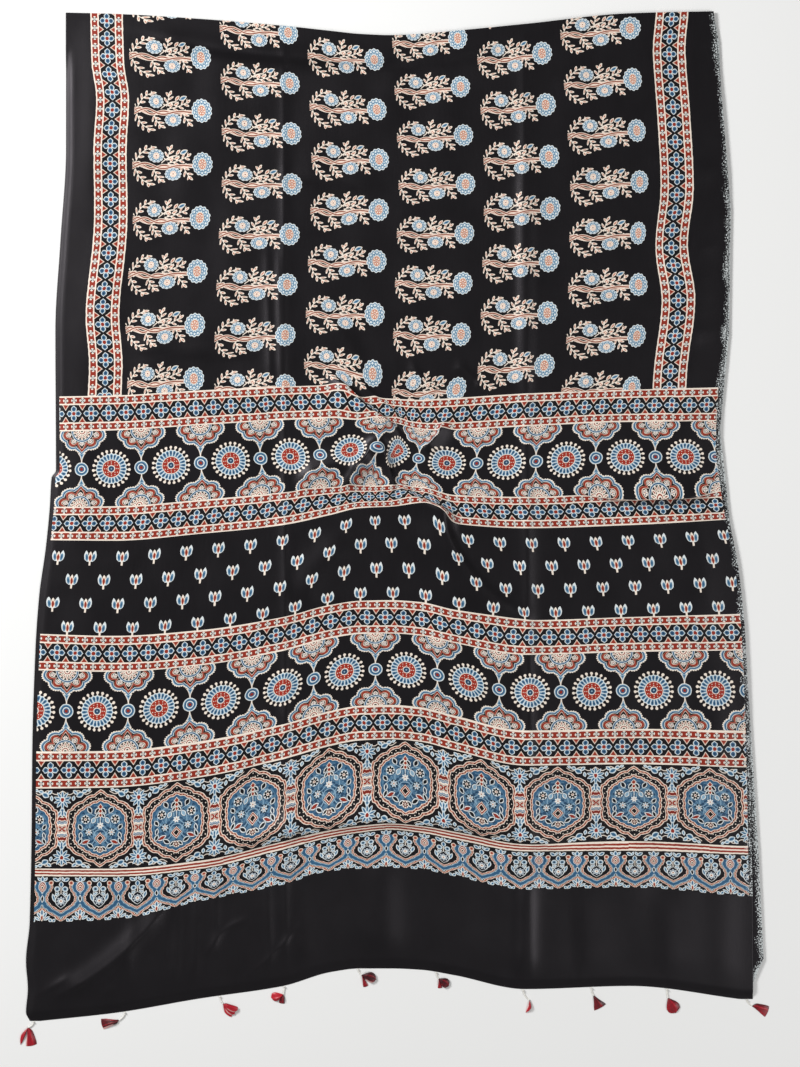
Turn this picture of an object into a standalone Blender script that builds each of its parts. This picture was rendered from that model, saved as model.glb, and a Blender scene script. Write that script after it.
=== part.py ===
"""Ajrakh saree, laid out in a back-and-forth fold, with ten petal tassels on threads along its hem.

Units are metres. +Z is up from the surface that the cloth lies on, and +Y runs up the cloth, from the
tasselled hem to the fold at its top. The origin is the middle of the whole thing, on that surface.
The tables below are in millimetres, and the functions that read them turn them into metres.
"""

import math

import bmesh
import bpy
import numpy as np
from mathutils import Matrix, Vector

MM = 0.001
OBJECT_NAME = "ajrakh_saree"

# The cloth and the way it is folded
CLOTH_WIDTH = 1140.0  # flat, selvedge to selvedge
SHEET = 1.0  # thickness of the cloth
LAYER_GAP = 0.6  # air between two layers
LAYERS = 4
LAYER_STEP = SHEET + LAYER_GAP
FOLD_STEPS = 4  # chords in each half-round fold
TOP_FOLD_INSET = 5.0  # how far the lower of the two top folds lies inside the upper one
END_FOLD_RISE = 24.0  # from the hem up to the fold and the end that it hides
HEM_DROP = 16.0  # length over which the hem steps down from the pile to the surface
LEFT_INSET = 19.0  # from the top layer's left edge to the layers below it
LEFT_DROOP = 12.0  # width of the left margin that droops beside the layers below
DROOP_SHARE = 0.8  # how far that margin droops, as a share of the height of the pile
CORNER_RUN = 50.0  # length over which inset and droop grow from the top fold down
EDGE_RUN = 60.0  # length over which the soft folds fade towards the edges

# Where each line across the cloth lies. along: distance from the hem, measured on the cloth.
# heights: its place up the surface, at each of STATIONS from left to right.
STATIONS = (-569, -449, -313, -180, -105, -57, -9, 39, 95, 207, 375, 551)
CROSS_LINES = (
    # name, along, heights
    ("hem", 0, (-786, -773, -750, -730, -708, -702, -702, -704, -713, -735, -730, -751)),
    ("print_end", 155, (-628, -623, -594, -567, -546, -542, -540, -543, -554, -575, -572, -586)),
    ("stripes_foot", 230, (-554, -554, -542, -511, -492, -484, -479, -484, -495, -514, -513, -519)),
    ("stripes_top", 243, (-542, -542, -529, -498, -479, -471, -466, -471, -482, -502, -498, -506)),
    ("shields_start", 371, (-414, -412, -396, -367, -346, -337, -335, -339, -353, -377, -375, -380)),
    ("buds_end", 612, (-167, -170, -161, -140, -121, -114, -113, -116, -129, -145, -140, -135)),
    ("buds_start", 762, (-17, -18, -7, 7, 23, 34, 36, 34, 9, 2, 7, 17)),
    ("medallions", 882, (95, 97, 106, 116, 119, 121, 118, 111, 105, 108, 116, 116)),
    ("body_end", 1002, (212, 214, 222, 228, 230, 210, 209, 207, 210, 217, 223, 228)),
    ("top_fold", 1630, (828, 825, 817, 806, 798, 793, 791, 793, 798, 809, 826, 830)),
)
TOP_ALONG = 1630.0

# The outline of the top layer: distance along the cloth from the hem, place across the surface.
LEFT_EDGE = (
    (0, -585), (13, -591), (50, -588), (93, -591), (155, -585), (304, -582), (426, -581), (585, -576),
    (671, -570), (752, -559), (817, -553), (869, -550), (881, -543), (1110, -544), (1255, -536),
    (1408, -527), (1630, -527),
)
RIGHT_EDGE = (
    (0, 571), (90, 571), (232, 569), (393, 566), (572, 559), (681, 548), (767, 532), (846, 522),
    (900, 517), (1002, 521), (1137, 530), (1323, 532), (1436, 525), (1536, 516), (1630, 508),
)
# How far the selvedge of the layers below shows past the right edge of the top layer.
PEEP = (
    (0, 0), (20, 17), (90, 17), (150, 13), (232, 11), (300, 5), (370, 1), (1500, 1), (1570, 4), (1630, 0),
)
LAYER_SETBACK = 1.0  # from the selvedge of one hidden layer to that of the layer below it

# Cloth taken up across the middle by the crumple there: distance along the cloth, share of the width.
TAKE_UP = ((0, 0.0), (640, 0.0), (780, 0.016), (880, 0.022), (960, 0.018), (1060, 0.0), (1630, 0.0))
TAKE_UP_CENTRE = 0.52
TAKE_UP_WIDTH = 0.07

# Soft folds of the top layer. start and end: where the crest begins and ends. bow: how far its middle
# leans to the left of the way from start to end. rise: height of the crest. left and right: how wide
# each flank is. pull: how far the flanks draw the cloth towards the crest.
FOLD_OVERRUN = 0.15  # how far past its ends a crest fades out, as a share of its length
FOLD_FADE = 0.35  # the share of the length that it fades over
FOLDS = (
    # name, start, end, bow, rise, left, right, pull
    ("crumple_ridge", (-95, 233), (-1, 134), -6, 12, 22, 14, 4),
    ("tent_left", (-25, 140), (-70, 52), 4, 13, 14, 20, 4),
    ("tent_right", (-19, 137), (5, 49), 3, 13, 12, 20, 4),
    ("right_pucker", (71, 214), (45, 134), 6, 9, 16, 16, 3),
    ("pocket_rim", (-153, 76), (-38, 95), 14, 8, 22, 26, 3),
    ("swag_fold", (58, 44), (204, -148), -24, 12, 20, 34, 4),
    ("light_fold", (-155, -118), (-87, -15), 6, 6, 30, 30, 2),
    ("left_crease", (-179, 783), (-175, -721), 0, 3, 16, 16, 1),
    ("right_crease", (205, 783), (217, -729), 0, 4, 18, 18, 1),
    ("stripe_wave", (-289, -512), (231, -496), 44, 9, 30, 22, 3),
    ("top_swag", (-441, 812), (257, 806), -52, 5, 26, 20, 2),
    ("tuck", (327, 52), (525, 68), 0, 5, 12, 12, 2),
    ("corner_fold", (-537, -742), (-369, -601), -10, 5, 18, 18, 1),
    ("plain_ridge", (-25, -529), (-12, -697), 0, 5, 34, 34, 1),
)

# The grid that the folded cloth is lofted on. across: distances over the width, on the flat cloth.
ACROSS = (
    0, 8, 18, 60, 120, 180, 240, 295, 340, 375, 405, 435, 465, 492, 516, 540, 563, 586, 610, 636,
    664, 694, 726, 760, 800, 860, 925, 1000, 1070, 1140,
)
TOP_ROWS = (
    0, 8, 16, 60, 110, 155, 190, 212, 234, 258, 290, 350, 430, 510, 570, 620, 665, 705, 740, 768, 793,
    817, 840, 862, 884, 907, 931, 957, 985, 1020, 1080, 1200, 1340, 1480, 1530, 1580, 1598, 1615,
)
HIDDEN_ROWS = (60, 230, 490, 760, 930, 1090, 1300, 1500, 1580, 1605)

# The tassels. knot: where along the hem the thread is sewn on. neck: where thread and petals meet.
# foot: the middle of the petals' far edge. width: of the petals.
TASSELS = (
    # knot, neck, foot, width
    (-579, (-588, -797), (-587, -829), 27),
    (-433, (-443, -785), (-471, -794), 16),
    (-281, (-276, -759), (-254, -771), 21),
    (-178, (-180, -744), (-202, -747), 18),
    (-60, (-54, -713), (-31, -724), 24),
    (65, (69, -719), (86, -729), 21),
    (204, (217, -751), (207, -772), 10),
    (313, (317, -746), (330, -763), 22),
    (434, (436, -750), (453, -770), 21),
    (562, (570, -762), (599, -769), 21),
)
THREAD = 1.2  # diameter
THREAD_HEIGHT = 1.2  # of its middle above the surface
THREAD_PLACES = (0.0, 0.12, 0.2, 0.45, 0.7, 1.0)  # where its points lie between knot and neck
KNOT = 2.0  # diameter of the knot where the thread is sewn to the hem
KNOT_SHARE = 0.15  # share of the thread that the knot takes up
PETAL_HEIGHT = 5.0  # of the ball that the petals are drawn from
PETAL_NECK = 0.18  # width at the neck, as a share of the petals' width
PETAL_FLARE = 1.6  # the higher, the later the petals widen
PETAL_GROOVE = 0.35  # depth of the groove between the two petals, as a share of their height
PETAL_SPREAD = 1.1  # makes up for the ball's own narrowing towards the foot
PETAL_SEGMENTS = 10
PETAL_RINGS = 8
SEAT_GAP = 0.3  # between pieces that touch
KNOT_GAP = 0.65  # from the hem to the knot, which leaves room for the slant of the hem

COLOURS = {
    # name: (colour, roughness, metallic)
    "saree": ((0.012, 0.012, 0.015, 1.0), 0.55, 0.0),
    "thread": ((0.78, 0.76, 0.72, 1.0), 0.8, 0.0),
    "petal": ((0.35, 0.012, 0.035, 1.0), 0.7, 0.0),
}


def clear_scene():
    """Remove the objects of a new file."""
    for item in list(bpy.data.objects):
        bpy.data.objects.remove(item, do_unlink=True)


def make_material(name):
    """A Principled material from the table of colours."""
    colour, roughness, metallic = COLOURS[name]
    material = bpy.data.materials.new(name)
    material.use_nodes = True
    shader = material.node_tree.nodes["Principled BSDF"]
    shader.inputs["Base Color"].default_value = colour
    shader.inputs["Roughness"].default_value = roughness
    shader.inputs["Metallic"].default_value = metallic
    return material


def add_mesh_object(name, mesh, material, collection):
    """Put a mesh into the scene as the named sub-part."""
    mesh.materials.append(material)
    item = bpy.data.objects.new(name, mesh)
    collection.objects.link(item)
    return item


def smooth_curve(at, places, values):
    """Read a curve that passes smoothly through a table, with no overshoot between its rows.

    Each stretch is a cubic whose end slopes are the harmonic mean of the two chords there, or level
    where the chords turn back. values has one row for each place and may have several columns.
    """
    places = np.asarray(places, float)
    values = np.asarray(values, float)
    columns = values.reshape(len(places), -1)
    steps = np.diff(places)
    chords = np.diff(columns, axis=0) / steps[:, None]
    before, after = chords[:-1], chords[1:]
    together = before * after
    slopes = np.zeros_like(columns)
    total = np.where(together > 0, before + after, 1.0)
    slopes[1:-1] = np.where(together > 0, 2 * together / total, 0.0)
    slopes[0], slopes[-1] = chords[0], chords[-1]
    at = np.clip(np.atleast_1d(at), places[0], places[-1])
    index = np.clip(np.searchsorted(places, at, side="right") - 1, 0, len(steps) - 1)
    step = steps[index][:, None]
    t = ((at - places[index]) / steps[index])[:, None]
    low, high = columns[index], columns[index + 1]
    result = (
        (1 + 2 * t) * (1 - t) ** 2 * low
        + t * (1 - t) ** 2 * step * slopes[index]
        + t * t * (3 - 2 * t) * high
        - t * t * (1 - t) * step * slopes[index + 1]
    )
    return result.reshape((len(at),) + values.shape[1:])


def read_pairs(at, table):
    """Read a table of (place, value) rows as a smooth curve."""
    return smooth_curve(at, [row[0] for row in table], [row[1] for row in table])


def soft_step(t):
    """0 below 0, 1 above 1, and an even S between."""
    t = np.clip(t, 0.0, 1.0)
    return t * t * (3 - 2 * t)


def share_across(across, along):
    """Where a thread of the flat cloth lies between the two edges, from 0 to 1, with the take-up."""
    take = read_pairs(along, TAKE_UP)

    def drawn(share):
        return share - take * np.tanh((share - TAKE_UP_CENTRE) / TAKE_UP_WIDTH)

    start, end = drawn(0.0), drawn(1.0)
    return (drawn(across / CLOTH_WIDTH) - start) / (end - start)


def line_heights(x, along):
    """Height up the surface of the cross line at each distance along, at each place x."""
    places = [row[1] for row in CROSS_LINES]
    heights = np.array([row[2] for row in CROSS_LINES], float)
    at_x = smooth_curve(x, STATIONS, heights.T)
    lifted = [smooth_curve(np.array([v]), places, column)[0] for v, column in zip(along, at_x)]
    return np.array(lifted)


def fold_shape(x, y):
    """Sideways draw and rise that the table of folds gives at each place.

    A fold's crest is a shallow parabola from start to end. Its rise fades to nothing at both ends,
    and falls off on either side as a bell whose width differs from flank to flank.
    """
    shift_x, shift_y, rise = np.zeros_like(x), np.zeros_like(x), np.zeros_like(x)
    for _name, start, end, bow, height, left, right, pull in FOLDS:
        way = np.subtract(end, start).astype(float)
        length = math.hypot(*way)
        way = way / length
        aside = np.array((-way[1], way[0]))
        along = ((x - start[0]) * way[0] + (y - start[1]) * way[1]) / length
        inside = np.clip(along, 0.0, 1.0)
        off = (x - start[0]) * aside[0] + (y - start[1]) * aside[1] - 4 * bow * inside * (1 - inside)
        from_end = np.minimum(along, 1 - along) + FOLD_OVERRUN
        fade = soft_step(from_end / FOLD_FADE)
        flank = np.where(off > 0, left, right)
        bell = np.exp(-((off / flank) ** 2)) * fade
        rise += height * bell
        shift_x -= pull * off / flank * bell * aside[0]
        shift_y -= pull * off / flank * bell * aside[1]
    return shift_x, shift_y, rise


def top_layer(along):
    """Points of the top layer, one row of the grid for each distance along the cloth."""
    across = np.tile(np.array(ACROSS, float), len(along))
    v = np.repeat(np.array(along, float), len(ACROSS))
    left, right = read_pairs(v, LEFT_EDGE), read_pairs(v, RIGHT_EDGE)
    x = left + (right - left) * share_across(across, v)
    y = line_heights(x, v)
    shift_x, shift_y, rise = fold_shape(x, y)
    base = SHEET / 2 + (LAYERS - 1) * LAYER_STEP
    fade = soft_step(np.minimum(across, CLOTH_WIDTH - across) / EDGE_RUN)
    fade *= soft_step(v / EDGE_RUN) * soft_step((TOP_ALONG - v) / EDGE_RUN)
    droop = DROOP_SHARE * (1 - soft_step(across / LEFT_DROOP))
    droop *= soft_step((TOP_ALONG - CORNER_RUN - v) / CORNER_RUN)
    z = base + rise * fade
    z -= (z - SHEET / 2) * (1 - soft_step(v / HEM_DROP))
    z -= (z - SHEET / 2) * droop
    x = x + shift_x * fade
    y = y + shift_y * fade
    return np.stack((x, y, z), axis=-1).reshape(len(along), len(ACROSS), 3)


def hidden_layer(level, along, top_inset):
    """Points of one of the layers below: flat, within the top layer but for the peep at the right."""
    across = np.tile(np.array(ACROSS, float), len(along))
    v = np.repeat(np.array(along, float), len(ACROSS))
    left = read_pairs(v, LEFT_EDGE) + LEFT_INSET * soft_step((TOP_ALONG - v) / CORNER_RUN)
    setback = LAYER_SETBACK * (LAYERS - 2 - level)
    right = read_pairs(v, RIGHT_EDGE) + read_pairs(v, PEEP) - setback
    x = left + (right - left) * across / CLOTH_WIDTH
    hem, top = line_heights(x, np.zeros_like(v)), line_heights(x, np.full_like(v, TOP_ALONG))
    y = np.clip(line_heights(x, v), hem + END_FOLD_RISE + LAYER_STEP, top - top_inset)
    z = np.full_like(v, SHEET / 2 + level * LAYER_STEP)
    return np.stack((x, y, z), axis=-1).reshape(len(along), len(ACROSS), 3)


def half_round(lower, upper, outward):
    """Rows of a fold that joins the row lower to the row upper, bulging towards outward (+1 is +Y)."""
    rows = []
    for step in range(1, FOLD_STEPS):
        angle = math.pi * step / FOLD_STEPS
        blend = (1 - math.cos(angle)) / 2
        row = lower * (1 - blend) + upper * blend
        row[:, 1] += outward * math.sin(angle) * LAYER_STEP / 2
        rows.append(row)
    return rows


def cloth_rows():
    """All the rows of the folded cloth, from its hidden end up to the hem of the end piece."""
    rows = []
    along = (0,) + HIDDEN_ROWS + (TOP_ALONG,)
    for level in range(LAYERS - 1):
        going_up = level % 2 == 0
        meets_top_layer = level == LAYERS - 2
        layer = hidden_layer(level, along, LAYER_STEP if meets_top_layer else TOP_FOLD_INSET)
        layer = list(layer if going_up else layer[::-1])
        if rows:
            rows += half_round(rows[-1], layer[0], outward=-1 if going_up else 1)
        rows += layer
    top = list(top_layer(TOP_ROWS + (TOP_ALONG - LAYER_STEP,))[::-1])
    rows += half_round(rows[-1], top[0], outward=1)
    return rows + top


def build_saree(collection):
    """The cloth: one open sheet lofted through its rows, then given its thickness."""
    rows = cloth_rows()
    points = np.array(rows) * MM
    count_v, count_u = points.shape[:2]
    corner = np.arange(count_v * count_u).reshape(count_v, count_u)
    quads = np.stack((corner[:-1, :-1], corner[:-1, 1:], corner[1:, 1:], corner[1:, :-1]), axis=-1)
    mesh = bpy.data.meshes.new("saree")
    mesh.from_pydata(points.reshape(-1, 3).tolist(), [], quads.reshape(-1, 4).tolist())
    mesh.shade_smooth()
    item = add_mesh_object("saree", mesh, make_material("saree"), collection)
    wall = item.modifiers.new("thickness", "SOLIDIFY")
    wall.thickness = SHEET * MM
    wall.offset = 0.0
    wall.use_even_offset = False
    return item


def hem_height(x):
    """Height up the surface of the hem at the place x, between two columns of the grid."""
    hem = top_layer((0.0,))[0]
    return float(np.interp(x, hem[:, 0], hem[:, 1]))


def build_thread(number, knot_x, neck, material, collection):
    """A tassel's thread: it leaves its knot square to the hem and bends over the surface to the neck."""
    start = Vector((knot_x, hem_height(knot_x) - KNOT_GAP))
    neck = Vector(neck)
    square = start + Vector((0.0, -(neck - start).length / 2))
    end = neck + (square - neck).normalized() * SEAT_GAP
    curve = bpy.data.curves.new(f"thread_{number}", "CURVE")
    curve.dimensions = "3D"
    curve.bevel_depth = THREAD / 2 * MM
    curve.bevel_resolution = 2
    curve.use_fill_caps = True
    spline = curve.splines.new("POLY")
    spline.points.add(len(THREAD_PLACES) - 1)
    for point, place in zip(spline.points, THREAD_PLACES):
        spot = start * (1 - place) ** 2 + square * 2 * place * (1 - place) + end * place**2
        point.co = (spot.x * MM, spot.y * MM, THREAD_HEIGHT * MM, 1.0)
        point.radius = KNOT / THREAD if place < KNOT_SHARE else 1.0
    curve.materials.append(material)
    item = bpy.data.objects.new(f"thread_{number}", curve)
    collection.objects.link(item)
    return item


def build_petal(number, neck, foot, width, material, collection):
    """A tassel's petals: a ball drawn out from the neck to a wide foot, flat below, grooved on top."""
    start, end = Vector(neck), Vector(foot)
    length = (end - start).length
    turn = math.atan2(end.y - start.y, end.x - start.x)
    shape = bmesh.new()
    bmesh.ops.create_uvsphere(shape, u_segments=PETAL_SEGMENTS, v_segments=PETAL_RINGS, radius=1.0)
    bmesh.ops.rotate(shape, matrix=Matrix.Rotation(math.radians(90), 3, "Y"), verts=shape.verts)
    for vertex in shape.verts:
        reach = (vertex.co.x + 1) / 2
        widen = PETAL_NECK + (1 - PETAL_NECK) * math.sin(math.pi / 2 * reach) ** PETAL_FLARE
        groove = 1 - PETAL_GROOVE * reach * math.exp(-((vertex.co.y * 3) ** 2))
        vertex.co.z = max(0.0, vertex.co.z) * PETAL_HEIGHT * groove * (1 + reach) / 2
        vertex.co.y *= width / 2 * widen * PETAL_SPREAD
        vertex.co.x = reach * length
    bmesh.ops.transform(shape, matrix=Matrix.Rotation(turn, 4, "Z"), verts=shape.verts)
    bmesh.ops.translate(shape, vec=(start.x, start.y, 0.0), verts=shape.verts)
    bmesh.ops.scale(shape, vec=(MM, MM, MM), verts=shape.verts)
    mesh = bpy.data.meshes.new(f"petal_{number}")
    shape.to_mesh(mesh)
    shape.free()
    mesh.shade_smooth()
    return add_mesh_object(f"petal_{number}", mesh, material, collection)


def main():
    """Build the saree and its ten tassels."""
    clear_scene()
    collection = bpy.data.collections.new(OBJECT_NAME)
    bpy.context.scene.collection.children.link(collection)
    build_saree(collection)
    thread, petal = make_material("thread"), make_material("petal")
    for number, (knot_x, neck, foot, width) in enumerate(TASSELS, start=1):
        build_thread(number, knot_x, neck, thread, collection)
        build_petal(number, neck, foot, width, petal, collection)


main()
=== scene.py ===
"""The looks of an ajrakh saree, laid out in a back-and-forth fold, with ten petal tassels at its hem.

The cloth is one sheet that lies in four layers. Its shape is worked out in millimetres, on the tables of
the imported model, and its print is drawn by shader nodes in millimetres of the flat cloth. Each tassel is
a twisted thread with a folded petal sheet on it. The camera looks straight down, as the photograph does.
"""

import logging
import math
from dataclasses import dataclass, field
from enum import Enum
from typing import Optional, Sequence, Union

import bpy
import numpy as np
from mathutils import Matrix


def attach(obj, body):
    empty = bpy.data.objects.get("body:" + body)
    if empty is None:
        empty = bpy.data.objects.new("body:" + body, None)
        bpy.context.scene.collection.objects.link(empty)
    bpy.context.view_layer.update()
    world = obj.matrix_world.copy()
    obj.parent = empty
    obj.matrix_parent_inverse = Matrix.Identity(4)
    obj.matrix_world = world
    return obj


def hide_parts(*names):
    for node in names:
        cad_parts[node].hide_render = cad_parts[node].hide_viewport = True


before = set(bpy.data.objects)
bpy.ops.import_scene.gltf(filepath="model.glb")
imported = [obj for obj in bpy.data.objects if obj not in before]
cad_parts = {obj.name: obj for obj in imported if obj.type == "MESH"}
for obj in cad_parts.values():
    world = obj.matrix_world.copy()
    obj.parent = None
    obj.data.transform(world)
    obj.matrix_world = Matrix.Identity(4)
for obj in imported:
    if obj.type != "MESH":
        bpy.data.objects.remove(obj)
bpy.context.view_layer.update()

LOG = logging.getLogger("saree")
MM = 0.001
TURN = 2 * math.pi
Array = np.ndarray
Place = tuple[float, float]
Table = Sequence[tuple[float, float]]


# ---------------------------------------------------------------- numbers over whole arrays


def monotone_cubic(at: Array, places: Array, values: Array) -> Array:
    """Read a table as a smooth curve with no overshoot between its rows.

    Each stretch is a cubic whose end slopes are the harmonic mean of the two chords there, or level
    where the chords turn back.

    Args:
        at: where to read, of any shape.
        places: the table's places, rising.
        values: one value for each place, or one row for each place with a value for each point of at.

    Returns:
        The values read, shaped as at.
    """
    places = np.asarray(places, float)
    flat = np.clip(np.ravel(at), places[0], places[-1])
    rows = np.broadcast_to(np.reshape(values, (len(places), -1)), (len(places), flat.size))
    steps = np.diff(places)
    chords = np.diff(rows, axis=0) / steps[:, None]
    together = chords[:-1] * chords[1:]
    total = np.where(together > 0, chords[:-1] + chords[1:], 1.0)
    middle = np.where(together > 0, 2 * together / total, 0.0)
    slopes = np.vstack((chords[:1], middle, chords[-1:]))
    index = np.clip(np.searchsorted(places, flat, side="right") - 1, 0, len(steps) - 1)

    def pick(table: Array, shift: int) -> Array:
        """The table's value at the start (0) or the end (1) of each point's stretch."""
        return np.take_along_axis(table, (index + shift)[None], axis=0)[0]

    t = (flat - places[index]) / steps[index]
    low = (1 + 2 * t) * (1 - t) ** 2 * pick(rows, 0) + t * t * (3 - 2 * t) * pick(rows, 1)
    bend = t * (1 - t) ** 2 * pick(slopes, 0) - t * t * (1 - t) * pick(slopes, 1)
    return (low + bend * steps[index]).reshape(np.shape(at))


def read_pairs(at: Array, table: Table) -> Array:
    """Read a table of (place, value) rows as a smooth curve, at every point of at."""
    places, values = np.transpose(table)
    return monotone_cubic(at, places, values)


def soft_step(t: Array) -> Array:
    """0 below 0, 1 above 1 and an even S between: t squared times three less twice t."""
    t = np.clip(t, 0.0, 1.0)
    return t * t * (3 - 2 * t)


def spaced(stops: Table) -> Array:
    """Places from the first stop to the last.

    Args:
        stops: rows of (place, longest step from there to the next stop).

    Returns:
        The places, with each stretch between two stops divided evenly.
    """
    runs = [
        np.linspace(place, following, max(1, math.ceil((following - place) / step)), endpoint=False)
        for (place, step), (following, _) in zip(stops, stops[1:])
    ]
    return np.concatenate(runs + [[stops[-1][0]]])


def grid_faces(rows: int, columns: int, closed: bool = False) -> Array:
    """Corner numbers of the quads of a grid, which face up where rows run +Y and columns +X.

    Args:
        rows: number of rows of points.
        columns: number of points in a row.
        closed: whether the last column is joined to the first one.

    Returns:
        One row of four corner numbers for each quad.
    """
    corner = np.arange(rows * columns).reshape(rows, columns)
    if closed:
        corner = np.hstack((corner, corner[:, :1]))
    quads = (corner[:-1, :-1], corner[:-1, 1:], corner[1:, 1:], corner[1:, :-1])
    return np.stack(quads, axis=-1).reshape(-1, 4)


def add_piece(
    name: str, points: Array, faces: Array, materials: Sequence[bpy.types.Material]
) -> bpy.types.Object:
    """Make a smooth-shaded piece of quads.

    Args:
        name: the piece's name.
        points: its points in millimetres, one row each.
        faces: its quads, four corner numbers a row.
        materials: its material slots.

    Returns:
        The object, which stands at the origin with its place in its mesh.
    """
    mesh = bpy.data.meshes.new(name)
    mesh.vertices.add(len(points))
    mesh.vertices.foreach_set("co", (points * MM).astype(np.float32).ravel())
    mesh.loops.add(faces.size)
    mesh.loops.foreach_set("vertex_index", faces.astype(np.int32).ravel())
    mesh.polygons.add(len(faces))
    mesh.polygons.foreach_set("loop_start", np.arange(0, faces.size, 4, dtype=np.int32))
    mesh.update(calc_edges=True)
    mesh.shade_smooth()
    for material in materials:
        mesh.materials.append(material)
    piece = bpy.data.objects.new(name, mesh)
    bpy.context.scene.collection.objects.link(piece)
    return piece


def stand_for(piece: bpy.types.Object, node: str) -> None:
    """Let a piece ride on the root body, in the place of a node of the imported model.

    Args:
        piece: the visible piece.
        node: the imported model's node.
    """
    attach(piece, "root")
    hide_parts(node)


def add_uv_map(piece: bpy.types.Object, name: str, corners: Array) -> None:
    """Give a piece a UV map from one (u, v) row for each face corner."""
    layer = piece.data.uv_layers.new(name=name)
    layer.data.foreach_set("uv", corners.astype(np.float32).ravel())


def add_attribute(piece: bpy.types.Object, name: str, values: Array) -> None:
    """Give a piece an attribute of one number for each point."""
    attribute = piece.data.attributes.new(name, "FLOAT", "POINT")
    attribute.data.foreach_set("value", values.astype(np.float32).ravel())


# ---------------------------------------------------------------- the cloth's shape


@dataclass(frozen=True)
class Fold:
    """A soft fold: a crest along a shallow parabola, with a bell-shaped flank on either side.

    start and end are where the crest begins and ends, bow how far its middle bends to the left, rise its
    height, left and right the width of each flank, and pull how far the flanks draw towards the crest.
    lean is how far the crest falls over to the left, and edge the power of the bell: a low one is sharp.
    """

    start: Place
    end: Place
    bow: float
    rise: float
    left: float
    right: float
    pull: float = 1.0
    lean: float = 0.0
    edge: float = 2.0

    OVERRUN = 0.15
    FADE = 0.35
    CREST_ROUND = 0.01

    def shape(self, x: Array, y: Array) -> Array:
        """Sideways draw and rise at each place.

        The bell is exp(-(size of off / flank) to the power edge), faded at both ends. Before its root is
        taken, the square of off / flank gains a hundredth, which rounds the crest. The rise is its
        height times the bell. The draw is the pull times off / flank times the bell, towards the crest,
        and the lean times the bell, to the left.

        Args:
            x: places to the right.
            y: places up the surface.

        Returns:
            Three rows: the draw in x, the draw in y, the rise.
        """
        run_x, run_y = self.end[0] - self.start[0], self.end[1] - self.start[1]
        length = math.hypot(run_x, run_y)
        way_x, way_y = run_x / length, run_y / length
        along = ((x - self.start[0]) * way_x + (y - self.start[1]) * way_y) / length
        inside = np.clip(along, 0.0, 1.0)
        off = (y - self.start[1]) * way_x - (x - self.start[0]) * way_y
        off = off - 4 * self.bow * inside * (1 - inside)
        fade = soft_step((np.minimum(along, 1 - along) + self.OVERRUN) / self.FADE)
        flank = np.where(off > 0, self.left, self.right)
        bell = np.exp(-(np.sqrt((off / flank) ** 2 + self.CREST_ROUND) ** self.edge)) * fade
        draw = (self.lean - self.pull * off / flank) * bell
        return np.stack((-draw * way_y, draw * way_x, self.rise * bell))


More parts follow.
